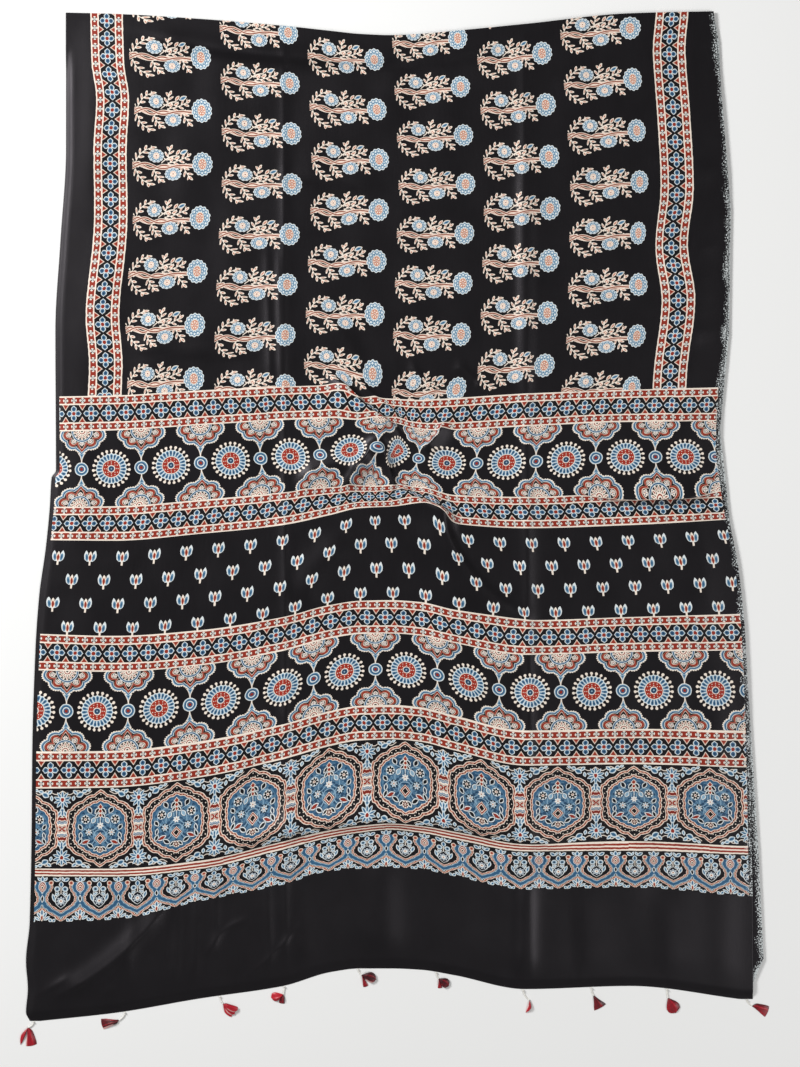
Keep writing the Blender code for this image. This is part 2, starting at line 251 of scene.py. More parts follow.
@dataclass(frozen=True)
class ClothShape:
    """How the cloth is folded and how its top layer lies, in millimetres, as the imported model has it.

    top_along is how far from the hem the top fold is, step the distance from layer to layer, lift how far
    the top layer lies above the pile, and least how low a crease can take it. It comes down over hem_drop
    at the hem, and by droop_share over left_droop at the left. The layers below end setback apart at the
    right, left_inset in at the left, end_fold_rise above the hem and top_fold_inset below the top fold.
    The folds fade over edge_run at each edge, the left edge's notch over notch_run, and the droop and the
    inset over corner_run below the top fold. take_up_width is how wide the crumple is, as a share.
    """

    width: float = 1140.0
    top_along: float = 1630.0
    sheet: float = 1.0
    layers: int = 4
    step: float = 1.6
    top_fold_inset: float = 5.0
    end_fold_rise: float = 24.0
    hem_drop: float = 16.0
    left_inset: float = 19.0
    left_droop: float = 12.0
    droop_share: float = 0.8
    corner_run: float = 50.0
    notch_run: float = 40.0
    edge_run: float = 60.0
    setback: float = 1.0
    take_up_width: float = 0.036
    lift: float = 3.0
    least: float = -0.7

    STATIONS = (-569, -449, -313, -180, -105, -57, -9, 39, 95, 207, 375, 551)
    # Distance along the cloth from the hem, and the height up the surface at each station.
    CROSS_LINES = (
        (0, (-786, -773, -750, -730, -708, -702, -702, -704, -713, -735, -730, -751)),
        (155, (-628, -623, -594, -567, -546, -542, -540, -543, -554, -575, -572, -586)),
        (230, (-554, -554, -542, -511, -492, -484, -479, -484, -495, -514, -513, -519)),
        (243, (-542, -542, -529, -498, -479, -471, -466, -471, -482, -502, -498, -506)),
        (371, (-414, -412, -396, -367, -346, -337, -335, -339, -353, -377, -375, -380)),
        (612, (-167, -170, -161, -140, -121, -114, -113, -116, -129, -145, -140, -135)),
        (762, (-17, -18, -7, 7, 23, 34, 36, 34, 9, 2, 7, 17)),
        (819, (36, 37, 47, 59, 67, 69, 70, 68, 55, 52, 59, 64)),
        (882, (95, 97, 106, 116, 120, 129, 127, 113, 105, 108, 116, 116)),
        (1002, (212, 214, 222, 228, 230, 210, 209, 207, 210, 217, 223, 228)),
        (1100, (308, 309, 315, 318, 317, 314, 312, 311, 310, 311, 317, 322)),
        (1630, (828, 825, 817, 806, 798, 793, 791, 793, 798, 809, 826, 830)),
    )
    LEFT_EDGE = (
        (0, -585), (13, -591), (50, -588), (93, -591), (155, -585), (304, -582), (426, -581),
        (585, -576), (671, -570), (752, -559), (817, -553), (869, -550), (881, -543), (1110, -544),
        (1255, -536), (1408, -527), (1630, -527),
    )
    # The left edge without its notch, which the print follows away from the edge.
    LEFT_CALM = (
        (0, -587), (304, -583), (585, -575), (671, -568), (752, -559), (875, -547), (1110, -543),
        (1255, -536), (1408, -527), (1630, -527),
    )
    RIGHT_EDGE = (
        (0, 571), (90, 571), (232, 569), (393, 566), (572, 559), (681, 548), (767, 532), (846, 522),
        (900, 517), (1002, 521), (1137, 530), (1323, 532), (1436, 525), (1536, 516), (1630, 508),
    )
    # How far the selvedge of the layers below shows past the right edge of the top layer.
    PEEP = (
        (0, 0), (20, 17), (90, 17), (150, 13), (232, 11), (300, 5), (370, 1), (1050, 1), (1110, 7),
        (1200, 9), (1280, 5), (1350, 1), (1500, 1), (1570, 4), (1630, 0),
    )
    # The crumple draws the cloth together: how far, and where across it does so, along the cloth.
    TAKE_UP = (
        (0, 0.0), (640, 0.0), (770, 0.008), (815, 0.014), (848, 0.021), (868, 0.019), (885, 0.016),
        (945, 0.013), (1060, 0.0), (1630, 0.0),
    )
    TAKE_UP_MIDDLE = ((0, 0.48), (835, 0.48), (862, 0.492), (890, 0.52), (1630, 0.52))
    MAIN_FOLDS = (
        Fold((-98, 236), (4, 150), -6, 13, 9, 20, 3, 12, 1.6),  # ridge of the crumple
        Fold((-31, 138), (-76, 64), 5, 13, 9, 13, 3, -8, 1.6),  # left side of the tent
        Fold((-28, 136), (-8, 60), 2, 12, 9, 9, 3, 6, 1.6),  # right side of the tent
        Fold((83, 168), (53, 126), 4, 10, 10, 9, 3, -9, 1.6),  # pucker right of it
        Fold((-153, 76), (-38, 95), 14, 8, 20, 18, 3, 4),  # rim of the pocket
        Fold((2, 66), (92, 18), -8, 10, 11, 15, 3, 9, 1.6),  # lip below the right medallion
        Fold((58, 44), (204, -148), -24, 13, 16, 30, 4, 6, 1.7),  # swag below the crumple
        Fold((-155, -118), (-87, -15), 6, 6, 30, 30, 2),
        Fold((-179, 783), (-175, -721), 0, 3, 9, 9, 1, 0, 1.3),  # left lengthways crease
        Fold((205, 783), (217, -729), 0, 4, 9, 10, 1, 0, 1.3),  # right lengthways crease
        Fold((-289, -512), (231, -496), 44, 10, 26, 15, 3, -5),  # wave under the stripes
        Fold((-441, 812), (257, 806), -52, 6, 22, 16, 2, -3),  # swag under the top fold
        Fold((326, 56), (620, 66), 0, 9, 9, 6, 2, -13, 1.5),  # tuck at the right edge
        Fold((-537, -742), (-369, -601), -10, 5, 18, 18),
        Fold((-25, -529), (-12, -697), 0, 5, 34, 34),
    )
    # Smaller creases, which only the visible cloth has.
    CREASES = (
        Fold((-537, -743), (-377, -612), -12, 2.6, 4.5, 6, 1, -2.5, 1.2),
        Fold((-580, -746), (-526, -714), -2, 1.8, 4.5, 5, 1, -1, 1.3),
        Fold((-476, -756), (-452, -730), 0, 1.6, 4.5, 5, 1, 0, 1.3),
        Fold((-300, -678), (-240, -622), 10, 2.2, 4.5, 5, 1, -2, 1.2),
        Fold((-252, -726), (-161, -638), -4, 2.2, 4.5, 5, 1, -2, 1.2),
        Fold((-345, -575), (-352, -725), 0, 1.8, 9, 9, 1, 0, 1.6),
        Fold((-316, -560), (-322, -730), 0, 1.6, 8, 8, 1, 0, 1.6),
        Fold((-286, -560), (-288, -670), 0, 1.8, 8, 8, 1, 0, 1.6),
        Fold((-205, -550), (-200, -700), 0, 2.4, 10, 10, 1, 0, 1.6),
        Fold((-420, -600), (-428, -720), 0, 1.6, 12, 12, 1, 0, 1.8),
        Fold((-150, -560), (-144, -700), 0, 2, 22, 12),
        Fold((205, -560), (203, -735), 0, 4.5, 22, 10, 1, 0, 1.6),
        Fold((300, -580), (306, -730), 0, 2, 26, 14),
        Fold((430, -590), (436, -730), 0, 2, 24, 18),
        Fold((-428, 297), (-231, 284), -4, 2.6, 9, 8, 1, -2, 1.6),
        Fold((-177, 567), (-25, 546), 3, 2.8, 9, 9, 1, -2, 1.6),
        Fold((-100, 330), (-60, 250), 6, 3, 14, 10, 1, 3),
        Fold((-62, 236), (10, 176), -4, 4, 8, 7, 2, 5, 1.5),
        Fold((-20, 158), (22, 152), 0, -4, 8, 9, -3),
        Fold((22, 262), (70, 214), -3, 3.5, 9, 8, 2, 4, 1.6),
        Fold((96, 262), (128, 232), 2, 3, 8, 8, 1, 2),
        Fold((548, 582), (482, 572), 2, 2, 10, 10),
        Fold((545, 458), (475, 450), 2, 2, 10, 10),
        Fold((540, 322), (470, 312), 2, 2, 10, 10),
        Fold((-206, 450), (-200, 230), 0, 2.2, 7, 7, 1, 0, 1.6),
        Fold((-188, 440), (-184, 222), 0, 2, 7, 7, 1, 0, 1.6),
        Fold((199, 575), (201, 223), 0, 2.4, 8, 8, 1, 0, 1.6),
        Fold((217, 560), (216, 230), 0, 2.4, 8, 8, 1, 0, 1.6),
        Fold((-240, -265), (-178, -265), 0, -3, 22, 22),
        Fold((145, -257), (205, -257), 0, -3, 22, 22),
        Fold((95, -6), (215, -165), -18, -5, 16, 20, -1),
        Fold((345, 36), (535, 50), 0, -3.5, 8, 12, -1),
        Fold((-430, 784), (250, 780), -50, -3.5, 14, 22, -1),
        Fold((-560, 700), (-556, 300), 0, 2, 8, 8, 1, 0, 1.6),
    )
    # Slack waves of the cloth: length in x, length in y, start of the wave, height.
    SLACK = (
        (310, 520, 0.4, 0.5), (-190, 260, 1.9, 0.4), (95, -420, 0, 0.3),
        (70, 800, 2.6, 0.25),
    )

    def share(self, u: Array, v: Array) -> Array:
        """Where a thread lies between the two edges, from 0 to 1, with what the crumple takes up.

        A thread's share is moved by the take-up times the hyperbolic tangent of its distance from the
        middle of the crumple, and the whole is then spread over the width again.

        Args:
            u: distance across the flat cloth.
            v: distance along the flat cloth.

        Returns:
            The share at each place.
        """
        take = read_pairs(v, self.TAKE_UP)
        middle = read_pairs(v, self.TAKE_UP_MIDDLE)

        def drawn(part: Union[Array, float]) -> Array:
            """The share after the take-up, before it is spread again."""
            return part - take * np.tanh((part - middle) / self.take_up_width)

        return (drawn(u / self.width) - drawn(0.0)) / (drawn(1.0) - drawn(0.0))

    def line_heights(self, x: Array, v: Array) -> Array:
        """Height up the surface: each cross line read at x as a curve, and what they give read at v."""
        columns = [monotone_cubic(x, self.STATIONS, heights).ravel() for _, heights in self.CROSS_LINES]
        return monotone_cubic(v, [along for along, _ in self.CROSS_LINES], np.stack(columns))

    def top_layer(self, u: Array, v: Array) -> Array:
        """Points of the top layer.

        x runs from edge to edge by share, y is the height of the cross line, and z is the height of
        the pile under it plus the rises of all folds. The hem and the left margin droop beside the pile.

        Args:
            u: distance across the flat cloth from its left selvedge.
            v: distance along the flat cloth from the hem.

        Returns:
            The points, with x, y and z on the last axis.
        """
        left, right = read_pairs(v, self.LEFT_EDGE), read_pairs(v, self.RIGHT_EDGE)
        calm = read_pairs(v, self.LEFT_CALM)
        x = calm + (right - calm) * self.share(u, v) + (left - calm) * (1 - soft_step(u / self.notch_run))
        y = self.line_heights(x, v)
        folded = sum(fold.shape(x, y) for fold in self.MAIN_FOLDS + self.CREASES)
        slack = sum(
            height * np.sin(TURN * (x / run_x + y / run_y) + start)
            for run_x, run_y, start, height in self.SLACK
        )
        fade = soft_step(np.minimum(u, self.width - u) / self.edge_run)
        fade = fade * soft_step(v / self.edge_run) * soft_step((self.top_along - v) / self.edge_run)
        droop = self.droop_share * (1 - soft_step(u / self.left_droop))
        droop = droop * soft_step((self.top_along - self.corner_run - v) / self.corner_run)
        low = self.sheet / 2
        z = low + (self.layers - 1) * self.step + (self.lift + folded[2] + slack).clip(self.least) * fade
        z = z - (z - low) * (1 - soft_step(v / self.hem_drop))
        z = z - (z - low) * droop
        return np.stack((x + folded[0] * fade, y + folded[1] * fade, z), axis=-1)

    def hem(self) -> Array:
        """Points of the hem, from left to right, for every millimetre of cloth."""
        across = np.linspace(0.0, self.width, round(self.width) + 1)
        return self.top_layer(across[None], np.zeros((1, len(across))))[0]

    def hidden_layer(self, level: int, u: Array, v: Array) -> Array:
        """Points of one of the flat layers below.

        Args:
            level: the layer's place in the pile, of which 0 lies on the surface.
            u: distance across the flat cloth.
            v: distance from where the hem of the top layer is, up the surface.

        Returns:
            The points, with x, y and z on the last axis.
        """
        left = read_pairs(v, self.LEFT_EDGE)
        left = left + self.left_inset * soft_step((self.top_along - v) / self.corner_run)
        right = read_pairs(v, self.RIGHT_EDGE) + read_pairs(v, self.PEEP)
        right = right - self.setback * (self.layers - 2 - level)
        x = left + (right - left) * u / self.width
        inset = self.step if level == self.layers - 2 else self.top_fold_inset
        lowest = self.line_heights(x, np.zeros_like(v)) + self.end_fold_rise + self.step
        highest = self.line_heights(x, np.full_like(v, self.top_along)) - inset
        y = np.clip(self.line_heights(x, v), lowest, highest)
        return np.stack((x, y, np.full_like(x, self.sheet / 2 + level * self.step)), axis=-1)

    def half_round(self, first: Array, last: Array, outward: int, parts: int = 6) -> Array:
        """Rows of the bend between two layers.

        A row at angle a lies (1 - cos a) / 2 of the way, and sin a half steps out towards outward in y.

        Args:
            first: the upper layer's last row of points.
            last: the lower layer's first row of points.
            outward: 1 where the bend points up the surface and -1 where it points down it.
            parts: how many parts the bend has.

        Returns:
            The rows between the two.
        """
        angle = (math.pi * np.arange(1, parts) / parts)[:, None, None]
        way = (1 - np.cos(angle)) / 2
        rows = first * (1 - way) + last * way
        rows[..., 1] += outward * np.sin(angle[..., 0]) * self.step / 2
        return rows


# ---------------------------------------------------------------- fields: numbers worked out by nodes


class Field:
    """A number, vector or colour that is worked out over the surface: one output socket of a node."""

    def __init__(self, socket: bpy.types.NodeSocket) -> None:
        """Wrap an output socket."""
        self.socket = socket
        self.tree = socket.id_data

    def __add__(self, other: "Value") -> "Field":
        """This plus another."""
        return math_node("ADD", self, other)

    __radd__ = __add__

    def __sub__(self, other: "Value") -> "Field":
        """This less another."""
        return math_node("SUBTRACT", self, other)

    def __rsub__(self, other: "Value") -> "Field":
        """Another less this."""
        return math_node("SUBTRACT", other, self)

    def __mul__(self, other: "Value") -> "Field":
        """This times another, which of two masks leaves what both cover."""
        return math_node("MULTIPLY", self, other)

    __rmul__ = __mul__

    def __truediv__(self, other: "Value") -> "Field":
        """This divided by another."""
        return math_node("DIVIDE", self, other)

    def __abs__(self) -> "Field":
        """The size of this without its sign."""
        return math_node("ABSOLUTE", self)

    def low(self, other: "Value") -> "Field":
        """The lower of the two."""
        return math_node("MINIMUM", self, other)

    def high(self, other: "Value") -> "Field":
        """The higher of the two."""
        return math_node("MAXIMUM", self, other)

    def sine(self, length: float, start: float = 0.0) -> "Field":
        """Sine wave of the given length, with its start in radians."""
        return math_node("SINE", math_node("MULTIPLY_ADD", self, TURN / length, start))

    def whole(self) -> "Field":
        """Rounded down."""
        return math_node("FLOOR", self)

    def wrap(self, pitch: float) -> "Field":
        """Distance from the nearest multiple of the pitch, which repeats a motif at that pitch."""
        return math_node("WRAP", self, pitch / 2, -pitch / 2)

    def under(self, limit: float, soft: float = 0.3) -> "Field":
        """Mask that is 1 below the limit, with an edge that is soft over twice the given width."""
        return map_range(self, limit - soft, limit + soft, 1.0, 0.0)

    def over(self, limit: float, soft: float = 0.3) -> "Field":
        """Mask that is 1 above the limit, with an edge that is soft over twice the given width."""
        return map_range(self, limit - soft, limit + soft, 0.0, 1.0)

    def near(self, middle: float, half: float, soft: float = 0.3) -> "Field":
        """Mask that is 1 within half of the middle."""
        return abs(self - middle).under(half, soft)


Value = Union[Field, float]


def feed(socket: bpy.types.NodeSocket, value: object) -> None:
    """Link a field to an input socket, or set the socket to a plain value.

    Args:
        socket: the input socket.
        value: a field, or a number, vector or colour.
    """
    if isinstance(value, Field):
        socket.id_data.links.new(value.socket, socket)
    else:
        socket.default_value = value


def set_inputs(node: bpy.types.Node, values: dict[Union[int, str], object]) -> None:
    """Link or set a node's inputs, which are given by name or number."""
    for name, value in values.items():
        feed(node.inputs[name], value)


def new_node(tree: bpy.types.NodeTree, kind: str, settings: dict[str, object]) -> bpy.types.Node:
    """Put a node into a tree.

    Args:
        tree: the tree.
        kind: the kind of node.
        settings: the node's own settings, such as its operation, by name.

    Returns:
        The node.
    """
    node = tree.nodes.new(f"ShaderNode{kind}")
    for name, setting in settings.items():
        setattr(node, name, setting)
    return node


def add_node(
    kind: str, values: dict[Union[int, str], object], output: Union[int, str] = 0, **settings: object
) -> Field:
    """Put a node into the tree of the first field that it takes.

    Args:
        kind: the kind of node.
        values: what its inputs take, by name or number.
        output: the output that is read, by name or number.
        **settings: the node's own settings, such as its operation.

    Returns:
        The output, as a field.
    """
    tree = next(value.tree for value in values.values() if isinstance(value, Field))
    node = new_node(tree, kind, settings)
    set_inputs(node, values)
    return Field(node.outputs[output])


def math_node(operation: str, *values: Value) -> Field:
    """Work out a number from one or more, with a Math node."""
    return add_node("Math", dict(enumerate(values)), operation=operation)


def vector_node(operation: str, *values: object) -> Field:
    """Work out a vector, or the number that a length, a distance or a dot product is."""
    output = "Value" if operation in ("LENGTH", "DISTANCE", "DOT_PRODUCT") else "Vector"
    return add_node("VectorMath", dict(enumerate(values)), output, operation=operation)


def scaled(vector: Field, factor: Value) -> Field:
    """Multiply a vector or colour by one number."""
    return add_node("VectorMath", {"Vector": vector, "Scale": factor}, "Vector", operation="SCALE")


def split(vector: Field) -> tuple[Field, Field]:
    """Take a vector's first two parts."""
    first = add_node("SeparateXYZ", {"Vector": vector})
    return first, Field(first.socket.node.outputs[1])


def map_range(value: Field, from_low: float, from_high: float, to_low: float, to_high: float) -> Field:
    """Carry one range over to another, in a straight line that stops at both ends."""
    return add_node("MapRange", dict(enumerate((value, from_low, from_high, to_low, to_high))), "Result")


def noise(spot: Field, scale: float, detail: float = 1.0, output: str = "Fac") -> Field:
    """A noise over a place, with its number of waves for each unit and its number of finer layers."""
    return add_node("TexNoise", {"Vector": spot, "Scale": scale, "Detail": detail}, output)


def mix(factor: Field, low: object, high: object) -> Field:
    """Mix the low colour with the high one, by a factor from 0 to 1."""
    return add_node("Mix", {0: factor, 6: low, 7: high}, 2, data_type="RGBA")


def relief(height: Field, strength: float) -> Field:
    """Turn a height, of which 1 stands for a fifth of a millimetre, into a normal."""
    return add_node("Bump", {"Height": height, "Strength": strength, "Distance": 0.2 * MM})


def read_attribute(tree: bpy.types.NodeTree, name: str) -> Field:
    """Read a piece's own attribute at each place, by its name."""
    return Field(new_node(tree, "Attribute", {"attribute_name": name}).outputs["Fac"])


def read_map(tree: bpy.types.NodeTree, name: str) -> Field:
    """Read a piece's own UV map at each place, by its name."""
    return Field(new_node(tree, "UVMap", {"uv_map": name}).outputs["UV"])


def read_curve(value: Field, points: Table) -> Field:
    """Read a smooth curve with a Float Curve node.

    Args:
        value: where to read it, from 0 to 1.
        points: the curve's points, both parts of which lie from 0 to 1.

    Returns:
        The curve's value there, as a field.
    """
    reading = add_node("FloatCurve", {"Value": value})
    mapping = reading.socket.node.mapping
    curve = mapping.curves[0]
    for _ in range(len(points) - 2):
        curve.points.new(0.5, 0.5)
    for point, place in zip(curve.points, points):
        point.location = place
    mapping.update()
    return reading


class Spot:
    """A place in a motif: x to the right and y up, in millimetres from the motif's middle."""

    def __init__(self, x: Field, y: Field) -> None:
        """Join two fields into a place."""
        self.x, self.y = x, y
        self.vector = add_node("CombineXYZ", {"X": x, "Y": y})

    def distance(self, x: float = 0.0, y: float = 0.0) -> Field:
        """Distance from a point."""
        return vector_node("DISTANCE", self.vector, (x, y, 0.0))

    def moved(self, x: float, y: float, turn: float = 0.0) -> "Spot":
        """The same place seen from a point, on axes of its own.

        Args:
            x: how far the point lies to the right.
            y: how far the point lies up.
            turn: how far the new axes are turned anticlockwise, in degrees.

        Returns:
            The place on the new axes.
        """
        away_x, away_y = self.x - x, self.y - y
        if not turn:
            return Spot(away_x, away_y)
        cos, sin = math.cos(math.radians(turn)), math.sin(math.radians(turn))
        return Spot(away_x * cos + away_y * sin, away_y * cos - away_x * sin)

    def oval(self, x: float, y: float, half_x: float, half_y: float, turn: float = 0.0) -> Field:
        """Distance from an oval's rim, below 0 inside, on the scale of its shorter half.

        Args:
            x: how far the oval's middle lies to the right.
            y: how far its middle lies up.
            half_x: half its size along its own first axis.
            half_y: half its size along its own second axis.
            turn: how far the oval is turned anticlockwise, in degrees.

        Returns:
            The distance, as a field.
        """
        shares = vector_node("MULTIPLY", self.moved(x, y, turn).vector, (1 / half_x, 1 / half_y, 0.0))
        shorter = min(half_x, half_y)
        return math_node("MULTIPLY_ADD", vector_node("LENGTH", shares), shorter, -shorter)

    def leaf(self, x: float, y: float, half_x: float, half_y: float, turn: float = 0.0) -> Field:
        """Distance across from the rim of a leaf with a point at either end, below 0 inside.

        The rim is where the place across is half_x times (1 less the square of y / half_y).

        Args:
            x: how far the leaf's middle lies to the right.
            y: how far its middle lies up.
            half_x: half its width.
            half_y: half its length.
            turn: how far the leaf is turned anticlockwise from upright, in degrees.

        Returns:
            The distance, as a field.
        """
        local = self.moved(x, y, turn)
        share = local.y / half_y
        return abs(local.x) - (1.0 - share * share) * half_x

    def angle(self) -> Field:
        """Angle round the middle, from straight up, to the right."""
        return math_node("ARCTAN2", self.x, self.y)

    def mirrored(self) -> "Spot":
        """The same place folded over the upright axis, which draws a motif on both sides."""
        return Spot(abs(self.x), self.y)

    def quartered(self) -> "Spot":
        """The same place folded over both axes, which draws a motif four times."""
        return Spot(abs(self.x), abs(self.y))

    def eightfold(self) -> "Spot":
        """The place folded over the two axes and the diagonals, which draws a motif eight times."""
        x, y = abs(self.x), abs(self.y)
        return Spot(x.high(y), x.low(y))

    def spoke(self, count: int, radius: Field, half_turn: bool = False) -> Field:
        """Distance along the ring from the nearest of evenly spread spokes, at the given radius."""
        angle = self.angle() + math.pi / count if half_turn else self.angle()
        return angle.wrap(TURN / count) * radius


class Group:
    """A shader node group with named inputs and outputs, built once and placed in each material."""

    def __init__(self, name: str, inputs: dict[str, str], outputs: dict[str, str]) -> None:
        """Make an empty group.

        Args:
            name: the group's name.
            inputs: the kind of each input, such as Float, by its name.
            outputs: the kind of each output, by its name.
        """
        self.tree = bpy.data.node_groups.new(name, "ShaderNodeTree")
        for direction, sockets in (("INPUT", inputs), ("OUTPUT", outputs)):
            for socket, kind in sockets.items():
                self.tree.interface.new_socket(name=socket, in_out=direction, socket_type=f"NodeSocket{kind}")
        self.start = self.tree.nodes.new("NodeGroupInput")
        self.end = self.tree.nodes.new("NodeGroupOutput")

    def given(self, name: str) -> Field:
        """The field that the group is given under a name."""
        return Field(self.start.outputs[name])

    def place(self, **values: object) -> dict[str, Field]:
        """Put the group into the tree of the fields that its inputs take, and give its outputs by name."""
        node = add_node("Group", values, node_tree=self.tree).socket.node
        return {output.name: Field(output) for output in node.outputs}


# ---------------------------------------------------------------- the print


def as_light(tone: Sequence[float]) -> tuple[float, ...]:
    """Turn a colour's screen values into what shaders take.

    A share of 255 up to 0.04045 is divided by 12.92. A larger one gains 0.055, is divided by 1.055 and
    is taken to the power 2.4.

    Args:
        tone: the red, green and blue, from 0 to 255.

    Returns:
        The red, green and blue as amounts of light from 0 to 1, and a 1.
    """
    shares = [part / 255 for part in tone]
    light = (share / 12.92 if share <= 0.04045 else ((share + 0.055) / 1.055) ** 2.4 for share in shares)
    return (*light, 1.0)


class Dye(Enum):
    """The colours of the print, as screen values from 0 to 255."""

    BLACK = (8, 7, 9)
    CREAM = (235, 222, 207)
    PALE = (216, 222, 222)
    RED = (138, 42, 24)
    SCARLET = (152, 43, 26)
    DARK_RED = (84, 26, 20)
    SALMON = (190, 130, 108)
    SKY = (134, 166, 186)
    STEEL = (92, 130, 156)
    BLUE = (46, 88, 120)
    NAVY = (22, 40, 64)


BLACK, CREAM, PALE, RED, SCARLET, DARK_RED, SALMON, SKY, STEEL, BLUE, NAVY = Dye
Inks = Sequence[tuple[float, Dye]]


@dataclass
class Board:
    """A print in the making: a black ground, and inks laid over it one after the other.

    u and v are the places across and along, in millimetres, and colour is the print so far.
    """

    u: Field
    v: Field
    colour: Union[Field, tuple[float, ...]] = field(default=as_light(BLACK.value), init=False)

    RING_EDGE = 0.15

    def ink(self, mask: Field, dye: Dye) -> None:
        """Lay one ink where the mask is 1."""
        self.colour = mix(mask, self.colour, as_light(dye.value))

    def rings(self, distance: Field, inks: Inks, where: Optional[Field] = None) -> None:
        """Lay inks inside smaller and smaller limits of a distance.

        Args:
            distance: the field that the limits are on, in millimetres.
            inks: rows of (limit, ink), largest first.
            where: a mask that all of them are kept within.
        """
        for limit, dye in inks:
            mask = distance.under(limit, self.RING_EDGE)
            self.ink(mask * where if where else mask, dye)

    def fill(self, distance: Field, dye: Dye, limit: float = 0.0) -> None:
        """Lay one ink inside a limit of a distance, which is a shape's rim unless it is given."""
        self.ink(distance.under(limit, self.RING_EDGE), dye)

    def flower(self, middle: Spot, size: float, petals: int, inks: Sequence[Dye]) -> None:
        """Lay a round flower.

        Args:
            middle: the place as seen from the flower's middle.
            size: the flower's radius.
            petals: how many petals it has.
            inks: the ground, the petals, their cores, the middle and the dot in it.
        """
        ground, rim, core, heart, dot = inks
        radius = middle.distance()
        reach = size * 0.64
        width = reach * math.pi / petals * 0.84
        petal = Spot(middle.spoke(petals, radius), radius).oval(0, reach, width, size * 0.36)
        self.fill(radius, ground, size + 0.4)
        self.rings(petal, ((0, rim), (-width * 0.5, core)))
        self.rings(radius, ((size * 0.34, heart), (size * 0.16, dot)))


@dataclass
class GuardStrips(Board):
    """Three strips side by side: a red guard, a black middle with florets, and a red guard.

    u is the place along the strips, and v the place across them from their middle line.
    """

    width: float = 57.0
    line: float = 2.2
    guard: float = 10.0
    guard_pitch: float = 14.7
    middle_pitch: float = 29.3

    FLORET = ((2.5, CREAM), (0.8, SKY))
    TRIANGLE = ((0, CREAM), (-0.9, SALMON), (-2, RED))
    PETAL = ((0.4, BLACK), (-0.4, PALE), (-1.6, STEEL), (-2.2, BLUE), (-4, NAVY))
    HEART = ((4, PALE), (3.2, RED))

    @classmethod
    def build(cls) -> Group:
        """Make the group that turns a place along and across the strips into a colour.

        Returns:
            The group, with the inputs Along and Across in millimetres.
        """
        group = Group("guard strips", {"Along": "Float", "Across": "Float"}, {"Colour": "Color"})
        strips = cls(group.given("Along"), group.given("Across") - cls.width / 2)
        strips.paint()
        set_inputs(group.end, {"Colour": strips.colour})
        return group

    def paint(self) -> None:
        """Lay the middle, the cream lines on both sides of it, and the guards."""
        self.paint_middle()
        off = abs(self.v)
        self.ink(off.over(self.width / 2 - 2 * self.line - self.guard), CREAM)
        self.paint_guard(off - (self.width / 2 - self.line - self.guard / 2))

    def paint_guard(self, off: Field) -> None:
        """Lay red blocks with hollow sides between pale florets of four petals.

        Args:
            off: distance from the guard's middle line.
        """
        inside = abs(off).under(self.guard / 2)
        spot = Spot(self.u.wrap(self.guard_pitch), off).eightfold()
        self.ink(inside, RED)
        self.rings(spot.distance(2.3, 0), self.FLORET, inside)
        self.ink(spot.distance(2.1, 2.1).under(1.1), BLACK)
        self.ink(spot.distance().under(0.9), BLACK)

    def paint_middle(self) -> None:
        """Lay florets of four blue petals round a red middle, with red triangles between them."""
        spot = Spot(self.u.wrap(self.middle_pitch), self.v).quartered()
        outside = self.middle_pitch / 2 - spot.x - (spot.y - 4.9) * 0.66
        self.rings(outside, self.TRIANGLE)
        fold = Spot(spot.x.high(spot.y), spot.x.low(spot.y))
        petal = fold.oval(7.7, 0, 6, 5.2).high(fold.x + fold.y * 0.8 - 13.5)
        self.rings(petal, self.PETAL)
        self.rings(fold.x + fold.y * 0.35, self.HEART)


@dataclass
class BandPrint(Board):
    """One band's print, between bare margins, with the yarn that shows at the right selvedge.

    cloth is the place on the flat cloth, in metres, and strips the group that paints three strips.
    """

    cloth: Field
    strips: Group

    GLOSS = 0.29
    LEFT_MARGIN = 6.5
    RIGHT_MARGIN = 5.5

    def paint(self) -> None:
        """Lay the band's inks, of which the bare ground has none."""

    def paint_strips(self, along: Field, across: Field) -> Field:
        """The colour of the three strips, at a place along and across them."""
        return self.strips.place(Along=along, Across=across)["Colour"]

    def paint_margins(self) -> None:
        """Cover the print with the ground beside both selvedges, and fray the right one."""
        across, _ = split(scaled(self.cloth, 1 / MM))
        self.ink(across.under(self.LEFT_MARGIN), BLACK)
        self.ink(across.over(ClothShape.width - self.RIGHT_MARGIN), BLACK)
        self.fray()

    def fray(self) -> None:
        """Show pale yarn in flecks along the right selvedge, in a wider strip on the hidden layers.

        The flecks are where a fine noise, plus a share that grows towards the edge, is above 0.62.
        """
        across, along = split(scaled(self.cloth, 1 / MM))
        hidden = along.over(ClothShape.top_along + 2)
        frayed = across + noise(self.cloth, 28, 2) * 24 + hidden * 4
        wear = map_range(frayed, 1145, 1158, 0, 0.2)
        flecks = (noise(self.cloth, 420, 3) + wear).over(0.62, 0.04) * 0.8
        self.ink(frayed.over(1144.5, 0.5) * flecks, PALE)


@dataclass
class PlainPrint(BandPrint):
    """The plain end: bare ground, which shines a little more."""

    GLOSS = 0.36


@dataclass
class StripPrint(BandPrint):
    """Three strips across the cloth, set a little up or down at each block."""

    block: float = 176.0

    def paint(self) -> None:
        """Lay the strips, with every block half a millimetre off at the most."""
        step = (self.u / self.block).whole().sine(2.7) * 0.5
        self.colour = self.paint_strips(self.u, self.v + step)
        self.paint_margins()


